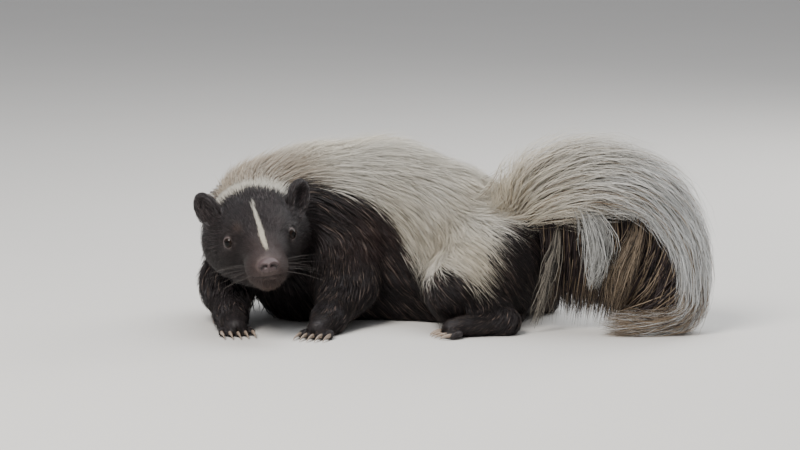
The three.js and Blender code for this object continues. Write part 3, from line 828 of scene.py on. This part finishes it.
def skinTint(p):
    base = darkTint(p) * 1.2
    for side in (-1, 1):
        rim = 0.8 * (1 - smoothStep(lidDistance(p, side), 1.1, 2.0))
        base = mix(base, tints["lid"], rim[:, None])
    # painted shade: the skin darkens along the groove of the mouth
    base = base * (1 - 0.6 * np.exp(-(lineDistance(p, mouthLine) / mouth["width"]) ** 2))[:, None]
    return mix(base, tints["cream"] * 0.6, whiteness(p)[:, None])


def paintTint(obj, colors):
    layer = obj.data.color_attributes.new("tint", "FLOAT_COLOR", "POINT")
    rgba = np.ones((len(colors), 4), dtype=np.float32)
    rgba[:, :3] = np.clip(colors, 0, 1)
    layer.data.foreach_set("color", rgba.ravel())


paintTint(skin, skinTint(pointsOf(skin)))


def skinFinish():
    finish = Finish("skinUnderCoat", Roughness=0.62)
    pores = finish.noise(900.0, 4.0)
    finish.feed("Base Color", (pores * 0.35).colorMix(finish.tint(), (0.02, 0.014, 0.014)))
    finish.bump(pores, 0.35, 0.0006)
    return finish.material


skin.data.materials.append(skinFinish())


def makeEyes():
    finish = Finish("eyeGlass", Roughness=0.03, IOR=1.36, Specular_IOR_Level=0.26)
    finish.feed("Base Color", finish.tint())
    for side, name in ((-1, "eye_right"), (1, "eye_left")):
        centre, gaze = eyeCentre(side), gazeOf(side)
        bpy.ops.object.select_all(action="DESELECT")
        bpy.ops.mesh.primitive_uv_sphere_add(segments=48, ring_count=32, radius=1)
        ball = bpy.context.object
        ball.name = "eyeball_" + name[4:]
        points = np.array([v.co[:] for v in ball.data.vertices])
        points = points * (eye["radius"] - 0.05) + centre  # just inside the solid
        movePoints(ball, points)
        shadeSmooth(ball.data)
        facing = unit(points - centre) @ gaze
        iris = smoothStep(facing, 0.68, 0.74)[:, None]
        pupil = smoothStep(facing, 0.90, 0.93)[:, None]
        rimTint, irisTint, pupilTint = np.array(eye["tints"])
        paintTint(ball, mix(mix(rimTint, irisTint, iris), pupilTint, pupil))
        ball.data.materials.append(finish.material)
        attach(ball, "root")
        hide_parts(name)


makeEyes()
print("eyes made")


def makeNose():
    bpy.ops.object.select_all(action="DESELECT")
    bpy.ops.mesh.primitive_uv_sphere_add(segments=96, ring_count=64, radius=1)
    pad = bpy.context.object
    pad.name = "nosePad"
    unitPoints = np.array([v.co[:] for v in pad.data.vertices])
    # poles lie along the head's left, away from the nostrils
    local = unitPoints[:, [0, 2, 1]] * np.array([1, 1, -1])
    shape = local * np.array(nose["radii"])
    forward, left, above = shape.T
    groove = 0.5 * np.exp(-(left / 0.55) ** 2) * smoothStep(-above, -1.0, 2.5) * (forward > 0)
    shape = shape - local * groove[:, None]
    # shade is painted shade, darkest in the hollows of the nostrils
    shade = np.ones(len(shape))
    for side in (-1, 1):
        away = lineDistance(shape, np.array(nose["nostril"]) * (1, side, 1))
        shape = shape - local * (nose["nostrilDepth"] * np.exp(-(away / 1.25) ** 2))[:, None]
        shape = shape + local * (0.35 * np.exp(-((away - 2.3) / 0.8) ** 2))[:, None]
        shade = shade * (1 - 0.93 * np.exp(-(away / 1.3) ** 2))
    points = eyesMiddle + (shape + np.array(nose["place"])) @ headAxes
    movePoints(pad, points)
    bpy.ops.object.mode_set(mode="EDIT")
    bpy.ops.mesh.select_all(action="SELECT")
    bpy.ops.mesh.normals_make_consistent(inside=False)
    bpy.ops.object.mode_set(mode="OBJECT")
    shadeSmooth(pad.data)
    finish = Finish("noseLeather", Roughness=0.54)
    cells = finish.node("ShaderNodeTexVoronoi", {}, {"Vector": finish.place(), "Scale": 1500.0})
    blotch = finish.noise(240.0)
    paintTint(pad, shade[:, None] * np.array(nose["leather"]))
    finish.feed("Base Color", (blotch * 0.7).colorMix(finish.tint(), (0.022, 0.014, 0.014)))
    finish.bump(cells, 0.3, 0.0002)
    pad.data.materials.append(finish.material)
    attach(pad, "root")
    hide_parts("nose")


makeNose()
print("nose made")


def tubeMesh(paths, widths, depths, normals, around=3):
    # Many closed tapered tubes at once: paths is (count, steps, 3), the last step is the tip
    count, steps, _ = paths.shape
    tangents = unit(np.gradient(paths, axis=1))
    side = unit(np.cross(tangents, normals[:, None, :]))
    out = np.cross(side, tangents)
    turns = 2 * math.pi * (np.arange(around) + around / 4) / around
    ring = (side[:, :-1, None, :] * (np.cos(turns)[:, None] * widths[:, :-1, None, None] / 2)
            + out[:, :-1, None, :] * (np.sin(turns)[:, None] * depths[:, :-1, None, None] / 2))
    rings = (paths[:, :-1, None, :] + ring).reshape(count, -1, 3)
    points = np.concatenate([rings, paths[:, -1:, :]], axis=1)
    perTube = points.shape[1]
    faces = [(0, i + 1, i) for i in range(1, around - 1)]  # closes the root
    rows = steps - 1
    for r in range(rows - 1):
        for i in range(around):
            j = (i + 1) % around
            a, b, c, d = r * around + i, r * around + j, (r + 1) * around + j, (r + 1) * around + i
            faces += [(a, b, c), (a, c, d)]
    last = (rows - 1) * around
    for i in range(around):
        faces.append((last + i, last + (i + 1) % around, perTube - 1))
    faces = np.array(faces)
    allFaces = (np.arange(count)[:, None, None] * perTube + faces[None]).reshape(-1, 3)
    return points.reshape(-1, 3), allFaces


class SkinSampler:
    # Places spread over the skin, with their places on its unwrap
    def __init__(self, obj):
        mesh = obj.data
        mesh.calc_loop_triangles()
        count = len(mesh.loop_triangles)
        corners = np.empty(count * 3, dtype=np.int32)
        mesh.loop_triangles.foreach_get("vertices", corners)
        loops = np.empty(count * 3, dtype=np.int32)
        mesh.loop_triangles.foreach_get("loops", loops)
        self.points = pointsOf(obj)
        self.corners = corners.reshape(-1, 3)
        a, b, c = (self.points[self.corners[:, i]] for i in range(3))
        self.areas = np.linalg.norm(np.cross(b - a, c - a), axis=1) / 2
        self.centres = (a + b + c) / 3
        uv = np.empty(len(mesh.loops) * 2, dtype=np.float32)
        mesh.uv_layers["skinUnwrap"].data.foreach_get("uv", uv)
        self.uv = uv.reshape(-1, 2)[loops.reshape(-1, 3)]

    def pick(self, count, density, seed):
        rng = np.random.default_rng(seed)
        weights = self.areas * density
        total = np.cumsum(weights)
        # evenly spaced draws keep the spread even
        draws = (np.arange(count) + rng.uniform(size=count)) / count * total[-1]
        chosen = np.minimum(np.searchsorted(total, draws), len(total) - 1)
        u, v = rng.uniform(size=(2, count))
        flip = u + v > 1
        u[flip], v[flip] = 1 - u[flip], 1 - v[flip]
        parts = np.stack([1 - u - v, u, v], axis=1)[:, :, None]
        return (self.points[self.corners[chosen]] * parts).sum(axis=1), (self.uv[chosen] * parts).sum(axis=1)


def unwrapSkin(obj):
    obj.data.uv_layers.new(name="skinUnwrap")
    pickOnly(obj)
    bpy.ops.object.mode_set(mode="EDIT")
    bpy.ops.mesh.select_all(action="SELECT")
    bpy.ops.uv.smart_project(angle_limit=math.radians(66), island_margin=0.002)
    bpy.ops.object.mode_set(mode="OBJECT")


unwrapSkin(skin)
sampler = SkinSampler(skin)
print("skin unwrapped")


def guardHairFinish():
    # Fine dark streaks along each tuft, as of the hairs that it is made of
    finish = Finish("guardHair", Roughness=0.5)
    hairs = finish.noise(1.0, 2.0, place=finish.node("ShaderNodeUVMap", {"uv_map": "tuft"}))
    streak = (hairs - 0.36) * 2.6
    finish.feed("Base Color", (streak * 0.3).colorMix(finish.tint(), (0.012, 0.009, 0.008)))
    finish.bump(hairs, 0.35, 0.0003)
    return finish.material


guardHair = guardHairFinish()
patch = 0.003  # how wide a tuft lies on the map OFBake


def strandPiece(name, paths, widths, depths, normals, rootTints, tipTints, uv):
    points, faces = tubeMesh(paths, widths, depths, normals)
    points[:, 2] = np.maximum(points[:, 2], 0.1)
    obj = meshFrom(name, points, faces)
    count, steps, _ = paths.shape
    share = np.concatenate([np.repeat(np.arange(steps - 1) / (steps - 1), 3), [1.0]])
    paintTint(obj, mix(rootTints[:, None, :], tipTints[:, None, :], share[None, :, None]).reshape(-1, 3))
    angle = np.tile(np.concatenate([np.tile([0.0, 0.5, 1.0], steps - 1), [0.5]]), (count, 1))
    local = np.stack([angle - 0.5, np.tile(share, (count, 1)) - 0.5], axis=2) * patch
    vertexUv = (uv[:, None, :] * (1 - patch) + patch / 2 + local).reshape(-1, 2)
    # across a tuft the fine hairs are close together, along it they run on
    tuft = np.stack([angle * 9, np.tile(share * 1.5, (count, 1))], axis=2)
    tuft = tuft + np.arange(count)[:, None, None] * 0.37
    for mapName, places in (("OFBake", vertexUv), ("tuft", tuft.reshape(-1, 2))):
        layer = obj.data.uv_layers.new(name=mapName)
        layer.data.foreach_set("uv", places[faces.ravel()].astype(np.float32).ravel())
    obj.data.materials.append(guardHair)
    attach(obj, "root")
    print(name, len(faces), "triangles")


growth = {
    "rootDepth": 0.6,  # mm into the skin
    "shortest": 0.75,
    "longest": 1.15,
    "swing": 0.25,
    "clumpSize": 9,
    "highestStep": 8,
}


def growStrands(roots, steps, seed, longer=1.0, higher=1.0, clumping=0.6, follow=2.5):
    # Each tuft steps along the flesh, the way the coat lies, and rises from it towards its tip
    rng = np.random.default_rng(seed)
    count = len(roots)
    facts = coatAt(roots)
    length = facts[:, 0] * longer * rng.uniform(growth["shortest"], growth["longest"], count)
    height = facts[:, 1] * higher * rng.uniform(0.25, 1.0, count) ** 0.8
    hang = facts[:, 2]
    length = length * mix(0.45, 1.0, smoothStep(eyeDistance(roots), 5, 11))
    length = length * mix(0.6, 1.0, smoothStep(np.linalg.norm(roots - noseTip, axis=1), 5, 10))
    swing = growth["swing"] * (waves(roots, 30, seed + 1) * 0.7 + rng.normal(size=count) * 0.45)
    path = [roots - flesh.slope(roots) * growth["rootDepth"]]
    p = roots
    for step in range(1, steps + 1):
        normal = bodyFlesh.slope(p)
        way = unit(coatAt(p)[:, 3:6])
        way = way - np.array([0, 0, 1.0]) * (hang * (1 - np.maximum(normal[:, 2], 0) ** 2))[:, None]
        way = way - normal * (way * normal).sum(axis=1)[:, None]
        # where the lie would part round a point, the hair falls instead
        down = np.array([0, 0, -1.0]) + normal * normal[:, 2:]
        way = unit(way + down * 0.35 * (1 - smoothStep(np.linalg.norm(way, axis=1), 0.2, 0.7))[:, None])
        way = unit(way + np.cross(normal, way) * (swing * step / steps)[:, None])
        p = p + way * (length / steps)[:, None]
        share = step / steps
        rise = height * (share ** 0.7)
        p = p + bodyFlesh.slope(p) * np.clip(rise - bodyFlesh(p), -follow, growth["highestStep"])[:, None]
        path.append(p)
    paths = clumped(np.stack(path, axis=1), roots, growth["clumpSize"], clumping, rng)
    return paths, flesh.slope(roots)


def clumped(paths, roots, clumpSize, clumping, rng):
    # Tips draw towards the nearest leader's tip
    leaders = rng.choice(len(roots), max(1, len(roots) // clumpSize), replace=False)
    tree = kdtree.KDTree(len(leaders))
    for i, leader in enumerate(leaders):
        tree.insert(roots[leader], i)
    tree.balance()
    nearest = leaders[[tree.find(root)[1] for root in roots]]
    share = np.linspace(0, 1, paths.shape[1])[None, :, None]
    pull = clumping * share ** 1.4 * rng.uniform(0.4, 1.0, (len(roots), 1, 1))
    return mix(paths, paths[nearest], pull)


def tapered(count, steps, width, rng, thickTip=0.0):
    # Widths along each tuft; thickTip keeps them up to its last stretch
    share = np.arange(steps + 1) / steps
    profile = np.interp(share, [0, 0.15, 0.55, 1], [0.7, 1.0, 0.85 + 0.15 * thickTip, 0.05 + 0.85 * thickTip])
    return profile[None, :] * (width * rng.uniform(0.7, 1.25, count))[:, None]


def hairTints(roots, seed):
    # Root and tip colours of each strand
    rng = np.random.default_rng(seed)
    count = len(roots)
    q = toHead(roots)
    onFace = (smoothStep(q[:, 0], -12, -6) * headShare(roots))[:, None]
    nearRoots = roots + rng.normal(size=(count, 3)) * mix(1.2, 0.25, onFace)  # a ragged border
    white = (whiteness(nearRoots) > rng.uniform(0.35, 0.65, count))[:, None]
    dark = mix(darkTint(roots), tints["brown"], rng.uniform(0, 0.6, (count, 1)) ** 2)
    dark = dark * rng.uniform(0.5, 1.35, (count, 1))
    creamy = np.clip(0.5 + 0.5 * waves(roots, 60, 9), 0, 1)[:, None]
    light = mix(tints["white"], tints["cream"], creamy * 0.7)
    nape = (1 - smoothStep(alongSpine(roots)[0], 0.4, 2.2)) * (1 - smoothStep(q[:, 0], -42, -36))
    light = mix(light, tints["nape"], nape[:, None] * rng.uniform(0.3, 0.9, (count, 1)))
    light = light * rng.uniform(0.82, 1.05, (count, 1))
    # painted glints: grey tips scattered on the head, pale brown ones down the shoulder and flank, as light
    # catching the hairs
    onHead = headShare(roots)[:, None] > 0.5
    glint = rng.uniform(size=(count, 1)) < np.where(onHead, 0.14, 0.07)
    bright = np.where(onHead, tints["greyGlint"], tints["paleGlint"])
    darkOrGlintTip = np.where(glint, bright, dark * rng.uniform(1.0, 1.8, (count, 1)))
    return np.where(white, light * 0.8, dark * 0.8), np.where(white, light * 1.05, darkOrGlintTip)


def region(centres):
    # Which coat piece a place of the skin belongs to
    q = toHead(centres)
    onHead = (headOnly(centres) < 3) & (headShare(centres) > 0.5) | (earShare(centres) > 0.3)
    legDepth = np.min([Flesh.capsule(centres, row) for row in limbs.rows + toes.rows], axis=0)
    trunkDepth = Flesh((trunk, 10))(centres)
    tailDepth = Flesh((tail, 6))(centres)
    onTail = (tailDepth < 1.5) & (centres[:, 0] > 84)
    onLeg = (legDepth < 1.0) & (trunkDepth > 4) & ~onTail
    names = np.full(len(centres), "flankNear", dtype=object)
    names[alongSpine(centres)[1] < 0] = "flankFar"
    names[onLeg] = "leg"
    names[(whiteness(centres) > 0.5)] = "mantle"
    names[onLeg & (centres[:, 2] < 27)] = "foot"
    names[onTail] = "tail"
    names[onHead] = "head"
    names[onHead & (q[:, 0] > -4)] = "face"
    return names


def coatAreas(centres):
    # Where each coat piece grows: its region without the nose, the eyes and what lies on the floor
    q = toHead(centres)
    onNose = np.linalg.norm((q - np.array(nose["place"])) / np.array(nose["radii"]), axis=1) < 0.99
    bare = onNose | (eyeDistance(centres) < 5.9) | (centres[:, 2] < 1.5)
    regions = region(centres)
    grown = {name: (regions == name) & ~bare for name in set(regions)}
    grown["chin"] = grown["face"] & (q[:, 0] > 4) & (q[:, 2] < -17.5)
    return grown


areas = coatAreas(sampler.centres)
coats = {
    # name: part of the skin, tufts, steps along a tuft, width in mm, seed and ways to grow
    "coatFace": dict(area="face", count=35500, steps=1, width=0.34, seed=21, clumping=0.2),
    "coatChin": dict(area="chin", count=1900, steps=2, width=0.26, seed=30, longer=2.4, higher=2.6,
                     clumping=0.3),
    "coatHead": dict(area="head", count=15500, steps=2, width=0.42, seed=22, clumping=0.35),
    "coatMantleInner": dict(area="mantle", count=6400, steps=3, width=0.75, seed=23, higher=0.6, follow=2.0),
    "coatMantleOuter": dict(area="mantle", count=11400, steps=3, width=0.52, seed=24, longer=1.2, follow=1.3),
    "coatMantleLoose": dict(area="mantle", count=1300, steps=4, width=0.3, seed=29, longer=1.35, higher=1.45,
                            follow=0.6, clumping=0.1),
    "coatFlankNear": dict(area="flankNear", count=9400, steps=3, width=0.7, seed=25),
    "coatFlankFar": dict(area="flankFar", count=5600, steps=3, width=0.85, seed=26),
    "coatLegs": dict(area="leg", count=8500, steps=2, width=0.6, seed=27, clumping=0.4),
    "coatFeet": dict(area="foot", count=20000, steps=1, width=0.55, seed=28, clumping=0.2),
}


def makeCoats():
    for name, coat in coats.items():
        roots, uv = sampler.pick(coat["count"], areas[coat["area"]].astype(float), coat["seed"])
        rng = np.random.default_rng(coat["seed"] + 100)
        options = {key: coat[key] for key in ("longer", "higher", "clumping", "follow") if key in coat}
        paths, normals = growStrands(roots, coat["steps"], coat["seed"], **options)
        widths = tapered(len(roots), coat["steps"], coat["width"], rng)
        rootTints, tipTints = hairTints(roots, coat["seed"] + 200)
        strandPiece(name, paths, widths, widths * 0.55, normals, rootTints, tipTints, uv)


makeCoats()


def spline(points):
    # A smooth curve through points, read at any station
    points = np.asarray(points, dtype=float)
    padded = np.concatenate([[2 * points[0] - points[1]], points, [2 * points[-1] - points[-2]]])

    def read(station):
        station = np.clip(station, 0, len(points) - 1 - 1e-6)
        i = np.floor(station).astype(int)
        t = (station - i)[:, None]
        a, b, c, d = (padded[i + k] for k in range(4))
        bend, twist = 2 * a - 5 * b + 4 * c - d, 3 * b - a - 3 * c + d
        return 0.5 * (2 * b + (c - a) * t + bend * t ** 2 + twist * t ** 3)

    return read


tailCurve = spline(tailPlaces)
nearSide = np.array([0.0, -1, 0.1])  # towards the camera


def inPlume(station, turn, reach):
    # A place in the tail's hair: along it, round it from its upper side, and outwards
    step = 0.02
    centre = tailCurve(station)
    tangent = unit(tailCurve(station + step) - tailCurve(station - step))
    above = unit(np.cross(tangent, (0, 1, 0)))
    beside = np.cross(above, tangent)
    places = np.arange(len(hairAbove))
    up, down, aside = (np.interp(station, places, hair) for hair in (hairAbove, hairBelow, hairBeside))
    up = np.where(np.cos(turn) > 0, up, down)
    p = centre + above * (reach * up * np.cos(turn))[:, None]
    p = p + beside * (reach * aside * np.sin(turn))[:, None]
    return p, above * np.cos(turn)[:, None] + beside * np.sin(turn)[:, None]


def plumeUv(station, turn):
    # The tail's own unwrap: along the bone and round it
    return np.stack([station / 11, (turn / (2 * math.pi)) % 1], axis=1)


def plumePaths(rng, tuft, count):
    # Long hair that leaves the bone, lies along the tail and opens out towards its tips. Each of
    # these makers gives the paths, their normals, the station where they end and their places on the map
    station = rng.uniform(*tuft["stations"], count)
    turn = rng.uniform(-1, 1, count) * math.radians(tuft["halfTurn"])
    span = rng.uniform(*tuft["span"], count) * np.interp(station, [0, 5, 7, 9.6], [1, 1, 0.85, 0.6])
    span = np.minimum(span, rng.uniform(9.9, 11.0, count) - station)
    reach = rng.uniform(*tuft["reach"], count)
    swing = rng.normal(size=count) * tuft["swing"]
    flare = rng.uniform(0, 1, count) ** 3 * tuft.get("flare", 0)
    steps = tuft["steps"]
    shares = np.arange(steps + 1) / steps
    rise = np.interp(shares, [0, 0.2, 0.4, 0.6, 0.8, 1], [0.12, 0.5, 0.72, 0.87, 0.96, 1.0])
    rings = []
    for share, risen in zip(shares, rise):
        out = (risen + flare * share ** 2) * reach
        rings.append(inPlume(station + span * share, turn + swing * share, out))
    paths = np.stack([p for p, _ in rings], axis=1)
    return paths, rings[2][1], station + span, plumeUv(station, turn)


def bridgePaths(rng, tuft, count):
    # From the white top of the rump over the root of the tail into its plume
    density = areas["mantle"] * smoothStep(sampler.centres[:, 0], 42, 70)
    roots, uv = sampler.pick(count, density, tuft["seed"])
    turn = 1.9 * np.arctan2((roots[:, 1] - 58) / 30, (roots[:, 2] - 60) / 18)
    station = rng.uniform(0.6, 2.8, count)
    target, _ = inPlume(station, turn, rng.uniform(0.4, 1.05, count))
    normal = bodyFlesh.slope(roots)
    onward, _ = inPlume(station + 0.3, turn, np.full(count, 0.9))
    start = unit(unit(tailPlaces[1] - roots) + normal * 0.35)
    size = np.linalg.norm(target - roots, axis=1)[:, None]
    path = []
    for k in range(tuft["steps"] + 1):
        t = k / tuft["steps"]
        out = start * size * (t * (1 - t) ** 2) * 1.2
        into = unit(onward - target) * size * (t * t * (t - 1))
        path.append(roots * (1 - 3 * t * t + 2 * t ** 3) + target * (3 * t * t - 2 * t ** 3) + out + into)
    paths = np.stack(path, axis=1)
    for k in range(1, tuft["steps"]):
        p = paths[:, k]
        paths[:, k] = p + bodyFlesh.slope(p) * np.maximum(1.0 + k - bodyFlesh(p), 0)[:, None]
    return paths, normal, smoothStep(roots[:, 0], 46, 78) * 0.8, uv


def curtainPaths(rng, tuft, count):
    # Hair of the tail's under side, let go by the bone and drawn down by its own weight
    station = rng.uniform(*tuft["stations"], count)
    turn = math.pi + rng.uniform(-1, 1, count) * math.radians(tuft["halfTurn"])
    start, _ = inPlume(station, turn, np.full(count, 0.25))
    tangent = unit(tailCurve(station + 0.05) - tailCurve(station - 0.05))
    drop = (tailCurve(station)[:, 2] - rng.uniform(*tuft["tips"], count)) * rng.uniform(0.8, 1.0, count)
    drop = np.maximum(drop, 14)
    forward = rng.uniform(0.15, 0.5, count) * 26
    curl = np.interp(station, [1.5, 2.5, 4, 5.5, 7.2], [-5, -6, -14, -30, -42]) * rng.uniform(0.4, 1.4, count)
    aside = rng.normal(size=count) * 7
    path = []
    for k in range(tuft["steps"] + 1):
        t = k / tuft["steps"]
        p = start + tangent * (forward * math.sin(t * math.pi * 0.6))[:, None]
        p = p + np.stack([curl * t * t, aside * t, -drop * (0.35 * t + 0.65 * t * t)], axis=1)
        path.append(p)
    return np.stack(path, axis=1), np.tile(nearSide, (count, 1)), station + 1, plumeUv(station, turn)


def wavy(paths, rng, size):
    # Loose hair is never straight
    count, steps, _ = paths.shape
    t = np.linspace(0, 1, steps)[None, :]
    phase, pace = rng.uniform(0, 6.3, (count, 1)), rng.uniform(0.6, 1.4, (count, 1))
    bend = np.sin(phase + t * pace * 5) * t * size
    way = unit(rng.normal(size=(count, 1, 3)))
    return paths + bend[:, :, None] * way


def plumeTints(rng, tuft, reached):
    # White at the rump, cream over the root, and bluish towards the tip as painted cool shade
    count = len(reached)
    outer = np.clip((reached - 2.2) / 4, 0, 1)[:, None]
    creamy = np.clip(0.35 + reached * 0.8, 0, 1)[:, None]
    light = mix(tints["white"], tints["cream"], creamy)
    light = mix(light, tints["shadedBlueWhite"], outer * 0.9)
    light = light * rng.uniform(0.8, 1.08, (count, 1))
    dark = mix(tints["black"], tints["brown"], rng.uniform(0, 1, (count, 1)))
    beige = tints["beige"] * rng.uniform(0.6, 1.15, (count, 1))
    pick = rng.uniform(size=(count, 1))
    body = np.where(pick < tuft["dark"], dark, np.where(pick < tuft["dark"] + tuft["beige"], beige, light))
    return body * 0.75, body


tailTufts = {
    "coatTailRoot": dict(make=bridgePaths, count=2700, seed=40, steps=5, width=0.6, dark=0, beige=0.1,
                         clumping=0.35, wave=1.5),
    "coatTailInner": dict(make=plumePaths, count=3600, seed=41, width=0.9, stations=(0.5, 8.0), halfTurn=165,
                          span=(1.8, 2.9), reach=(0.35, 0.85), swing=0.2, steps=4, dark=0.10, beige=0.14,
                          clumping=0.55, wave=2.0),
    "coatTailOuter": dict(make=plumePaths, count=5000, seed=42, width=0.6, stations=(0.7, 8.0), halfTurn=165,
                          span=(1.8, 3.1), reach=(0.6, 1.0), swing=0.3, steps=5, dark=0.03, beige=0.10,
                          flare=0.3, clumping=0.35, wave=5.0),
    "coatTailUnder": dict(make=curtainPaths, count=3700, seed=43, width=0.8, stations=(1.2, 7.2), halfTurn=60,
                          tips=(1, 20), thickTip=1, steps=4, dark=0.72, beige=0.28, clumping=0.6, wave=4.0),
    "coatTailEnd": dict(make=plumePaths, count=2800, seed=44, width=0.55, stations=(6.6, 9.2), halfTurn=180,
                        span=(1.8, 4.2), reach=(0.5, 1.3), swing=0.4, steps=4, dark=0.2, beige=0.6,
                        flare=0.6, clumping=0.4, wave=5.0),
}


def makeTailCoat():
    for name, tuft in tailTufts.items():
        rng = np.random.default_rng(tuft["seed"])
        count = tuft["count"]
        paths, normal, reached, uv = tuft["make"](rng, tuft, count)
        paths = clumped(wavy(paths, rng, tuft["wave"]), paths[:, 0] + normal * 3, 10, tuft["clumping"], rng)
        paths[:, :, 2] = np.clip(paths[:, :, 2], 0.4, 147.5)
        widths = tapered(count, tuft["steps"], tuft["width"], rng, tuft.get("thickTip", 0))
        rootTint, tipTint = plumeTints(rng, tuft, reached)
        strandPiece(name, paths, widths, widths * 0.5, normal, rootTint, tipTint, uv)


makeTailCoat()

# Locks that hang free under the arch: way points, half width at the root and below it, and
# the share of dark hair among the pale
hangingLocks = [
    dict(line=[(127, 22, 92), (136, 16, 78), (140, 12, 62), (139, 10, 46), (136, 9, 32)],
         wide=(4, 7.5), count=400, dark=0.1, tint="lockWhite"),
    dict(line=[(112, 24, 74), (110, 18, 58), (106, 14, 42), (101, 12, 24), (96, 10, 5)],
         wide=(1.5, 3.5), count=200, dark=0.4, tint="greyBeige"),
    dict(line=[(170, 18, 84), (166, 12, 66), (158, 8, 48), (153, 6, 32), (151, 5, 16)],
         wide=(3, 7), count=330, dark=0.35, tint="beige"),
]


def makeHangingLocks():
    rng = np.random.default_rng(61)
    allPaths, allTints, allUv = [], [], []
    for number, lock in enumerate(hangingLocks):
        curve = spline(lock["line"])
        count = lock["count"]
        side = rng.normal(size=(count, 3)) * np.array([0.6, 0.9, 0.2])
        begin, length = rng.uniform(0, 1.6, count), rng.uniform(1.6, 3.4, count)
        drift = rng.normal(size=(count, 3)) * np.array([2.0, 3.0, 0.5])
        path = []
        rootWide, bodyWide = lock["wide"]
        for k in range(6):
            t = k / 5
            wide = np.interp(begin + length * t, [0, 1.5, 3, 4], [rootWide, bodyWide, bodyWide, 2])
            path.append(curve(begin + length * t) + side * wide[:, None] + drift * t * t)
        allPaths.append(np.stack(path, axis=1))
        # each lock's own unwrap, across it and along it, in a third of the map
        across = np.clip(0.5 + side[:, 0] * 0.2, 0.02, 0.98)
        allUv.append(np.stack([(number + across) / 3, begin / 1.6], axis=1))
        shade = np.where(rng.uniform(size=count) < lock["dark"], 0.08, rng.uniform(0.45, 1.1, count))
        allTints.append(tints[lock["tint"]] * shade[:, None])
    paths, body = np.concatenate(allPaths), np.concatenate(allTints)
    paths = wavy(paths, rng, 5.0)
    paths[:, :, 2] = np.maximum(paths[:, :, 2], 0.4)
    widths = tapered(len(paths), 5, 0.48, rng)
    normals = np.tile(nearSide, (len(paths), 1))
    uv = np.concatenate(allUv)
    strandPiece("coatTailLocks", paths, widths, widths * 0.5, normals, body * 0.75, body, uv)


makeHangingLocks()


whiskers = {
    "rows": 3,
    "inRow": 3,
    "length": (20, 34),
    "overEye": 2,
    "overEyeLength": (10, 16),
    "steps": 6,
    "rootWidth": 0.2,
    "tipWidth": 0.05,
}


def whiskerPaths(rng):
    # Rows beside the nose, and a few over each eye
    starts, ways, lengths = [], [], []
    for side in (-1, 1):
        for row in range(whiskers["rows"]):
            for k in range(whiskers["inRow"]):
                starts.append(inHead(36 - 4 * k - row, side * (9 + 1.6 * k), -11 - 2.6 * row))
                forward = 0.25 - 0.2 * k + rng.normal() * 0.1
                ways.append(headWay(forward, side, 0.15 - 0.16 * row + rng.normal() * 0.1))
                lengths.append(rng.uniform(*whiskers["length"]))
        for k in range(whiskers["overEye"]):
            starts.append(inHead(6 - 2 * k, side * (11 + k), 13))
            ways.append(headWay(0.5, side * 0.8, 0.7 + rng.normal() * 0.15))
            lengths.append(rng.uniform(*whiskers["overEyeLength"]))
    starts, ways = headOnly.onSurface(np.array(starts), level=-1.2, rounds=8), np.array(ways)
    t = np.linspace(0, 1, whiskers["steps"] + 1)[None, :, None]
    lengths = np.array(lengths)[:, None, None]
    fall = np.array([0, 0, -1.0]) * t ** 2 * lengths * 0.22 + backwards * t ** 2 * lengths * 0.35
    return starts[:, None, :] + ways[:, None, :] * t * lengths + fall


def makeWhiskers():
    rng = np.random.default_rng(71)
    paths = whiskerPaths(rng)
    paths[:, :, 2] = np.maximum(paths[:, :, 2], 0.5)
    count = len(paths)
    profile = np.linspace(whiskers["rootWidth"], whiskers["tipWidth"], whiskers["steps"] + 1)
    widths = np.tile(profile, (count, 1))
    tint = tints["whisker"] * rng.uniform(0.3, 1.2, (count, 1))
    uv = np.stack([(np.arange(count) + 0.5) / count, np.full(count, 0.5)], axis=1)
    normals = np.tile(headUp, (count, 1))
    strandPiece("whiskers", paths, widths, widths, normals, tint * 0.5, tint, uv)


makeWhiskers()


def makeClaws():
    count = len(clawRoots)
    steps = 7
    paths, widths = np.zeros((count, steps + 1, 3)), np.zeros((count, steps + 1))
    for i, (root, way, length) in enumerate(clawRoots):
        start = root.copy()
        start[2] = paw["radius"]
        mid = root + way * (3 + length * 0.5)
        mid[2] = paw["radius"] + 1
        end = root + way * (2 + length)
        end[2] = 0.5
        t = np.linspace(0, 1, steps + 1)[:, None]
        paths[i] = (1 - t) ** 2 * start + 2 * t * (1 - t) * mid + t * t * end
        widths[i] = np.linspace(paw["clawWidth"], 0.1, steps + 1)
    depths = widths * paw["clawDepth"]
    points, faces = tubeMesh(paths, widths, depths, np.tile([0.0, 0, 1], (count, 1)), around=10)
    obj = meshFrom("claws", points, faces)
    finish = Finish("clawHorn", Roughness=0.35)
    streak = finish.noise(500.0)
    finish.feed("Base Color", streak.colorMix((0.16, 0.11, 0.08), (0.42, 0.34, 0.27)))
    finish.bump(streak, 0.2, 0.0003)
    obj.data.materials.append(finish.material)
    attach(obj, "root")


makeClaws()
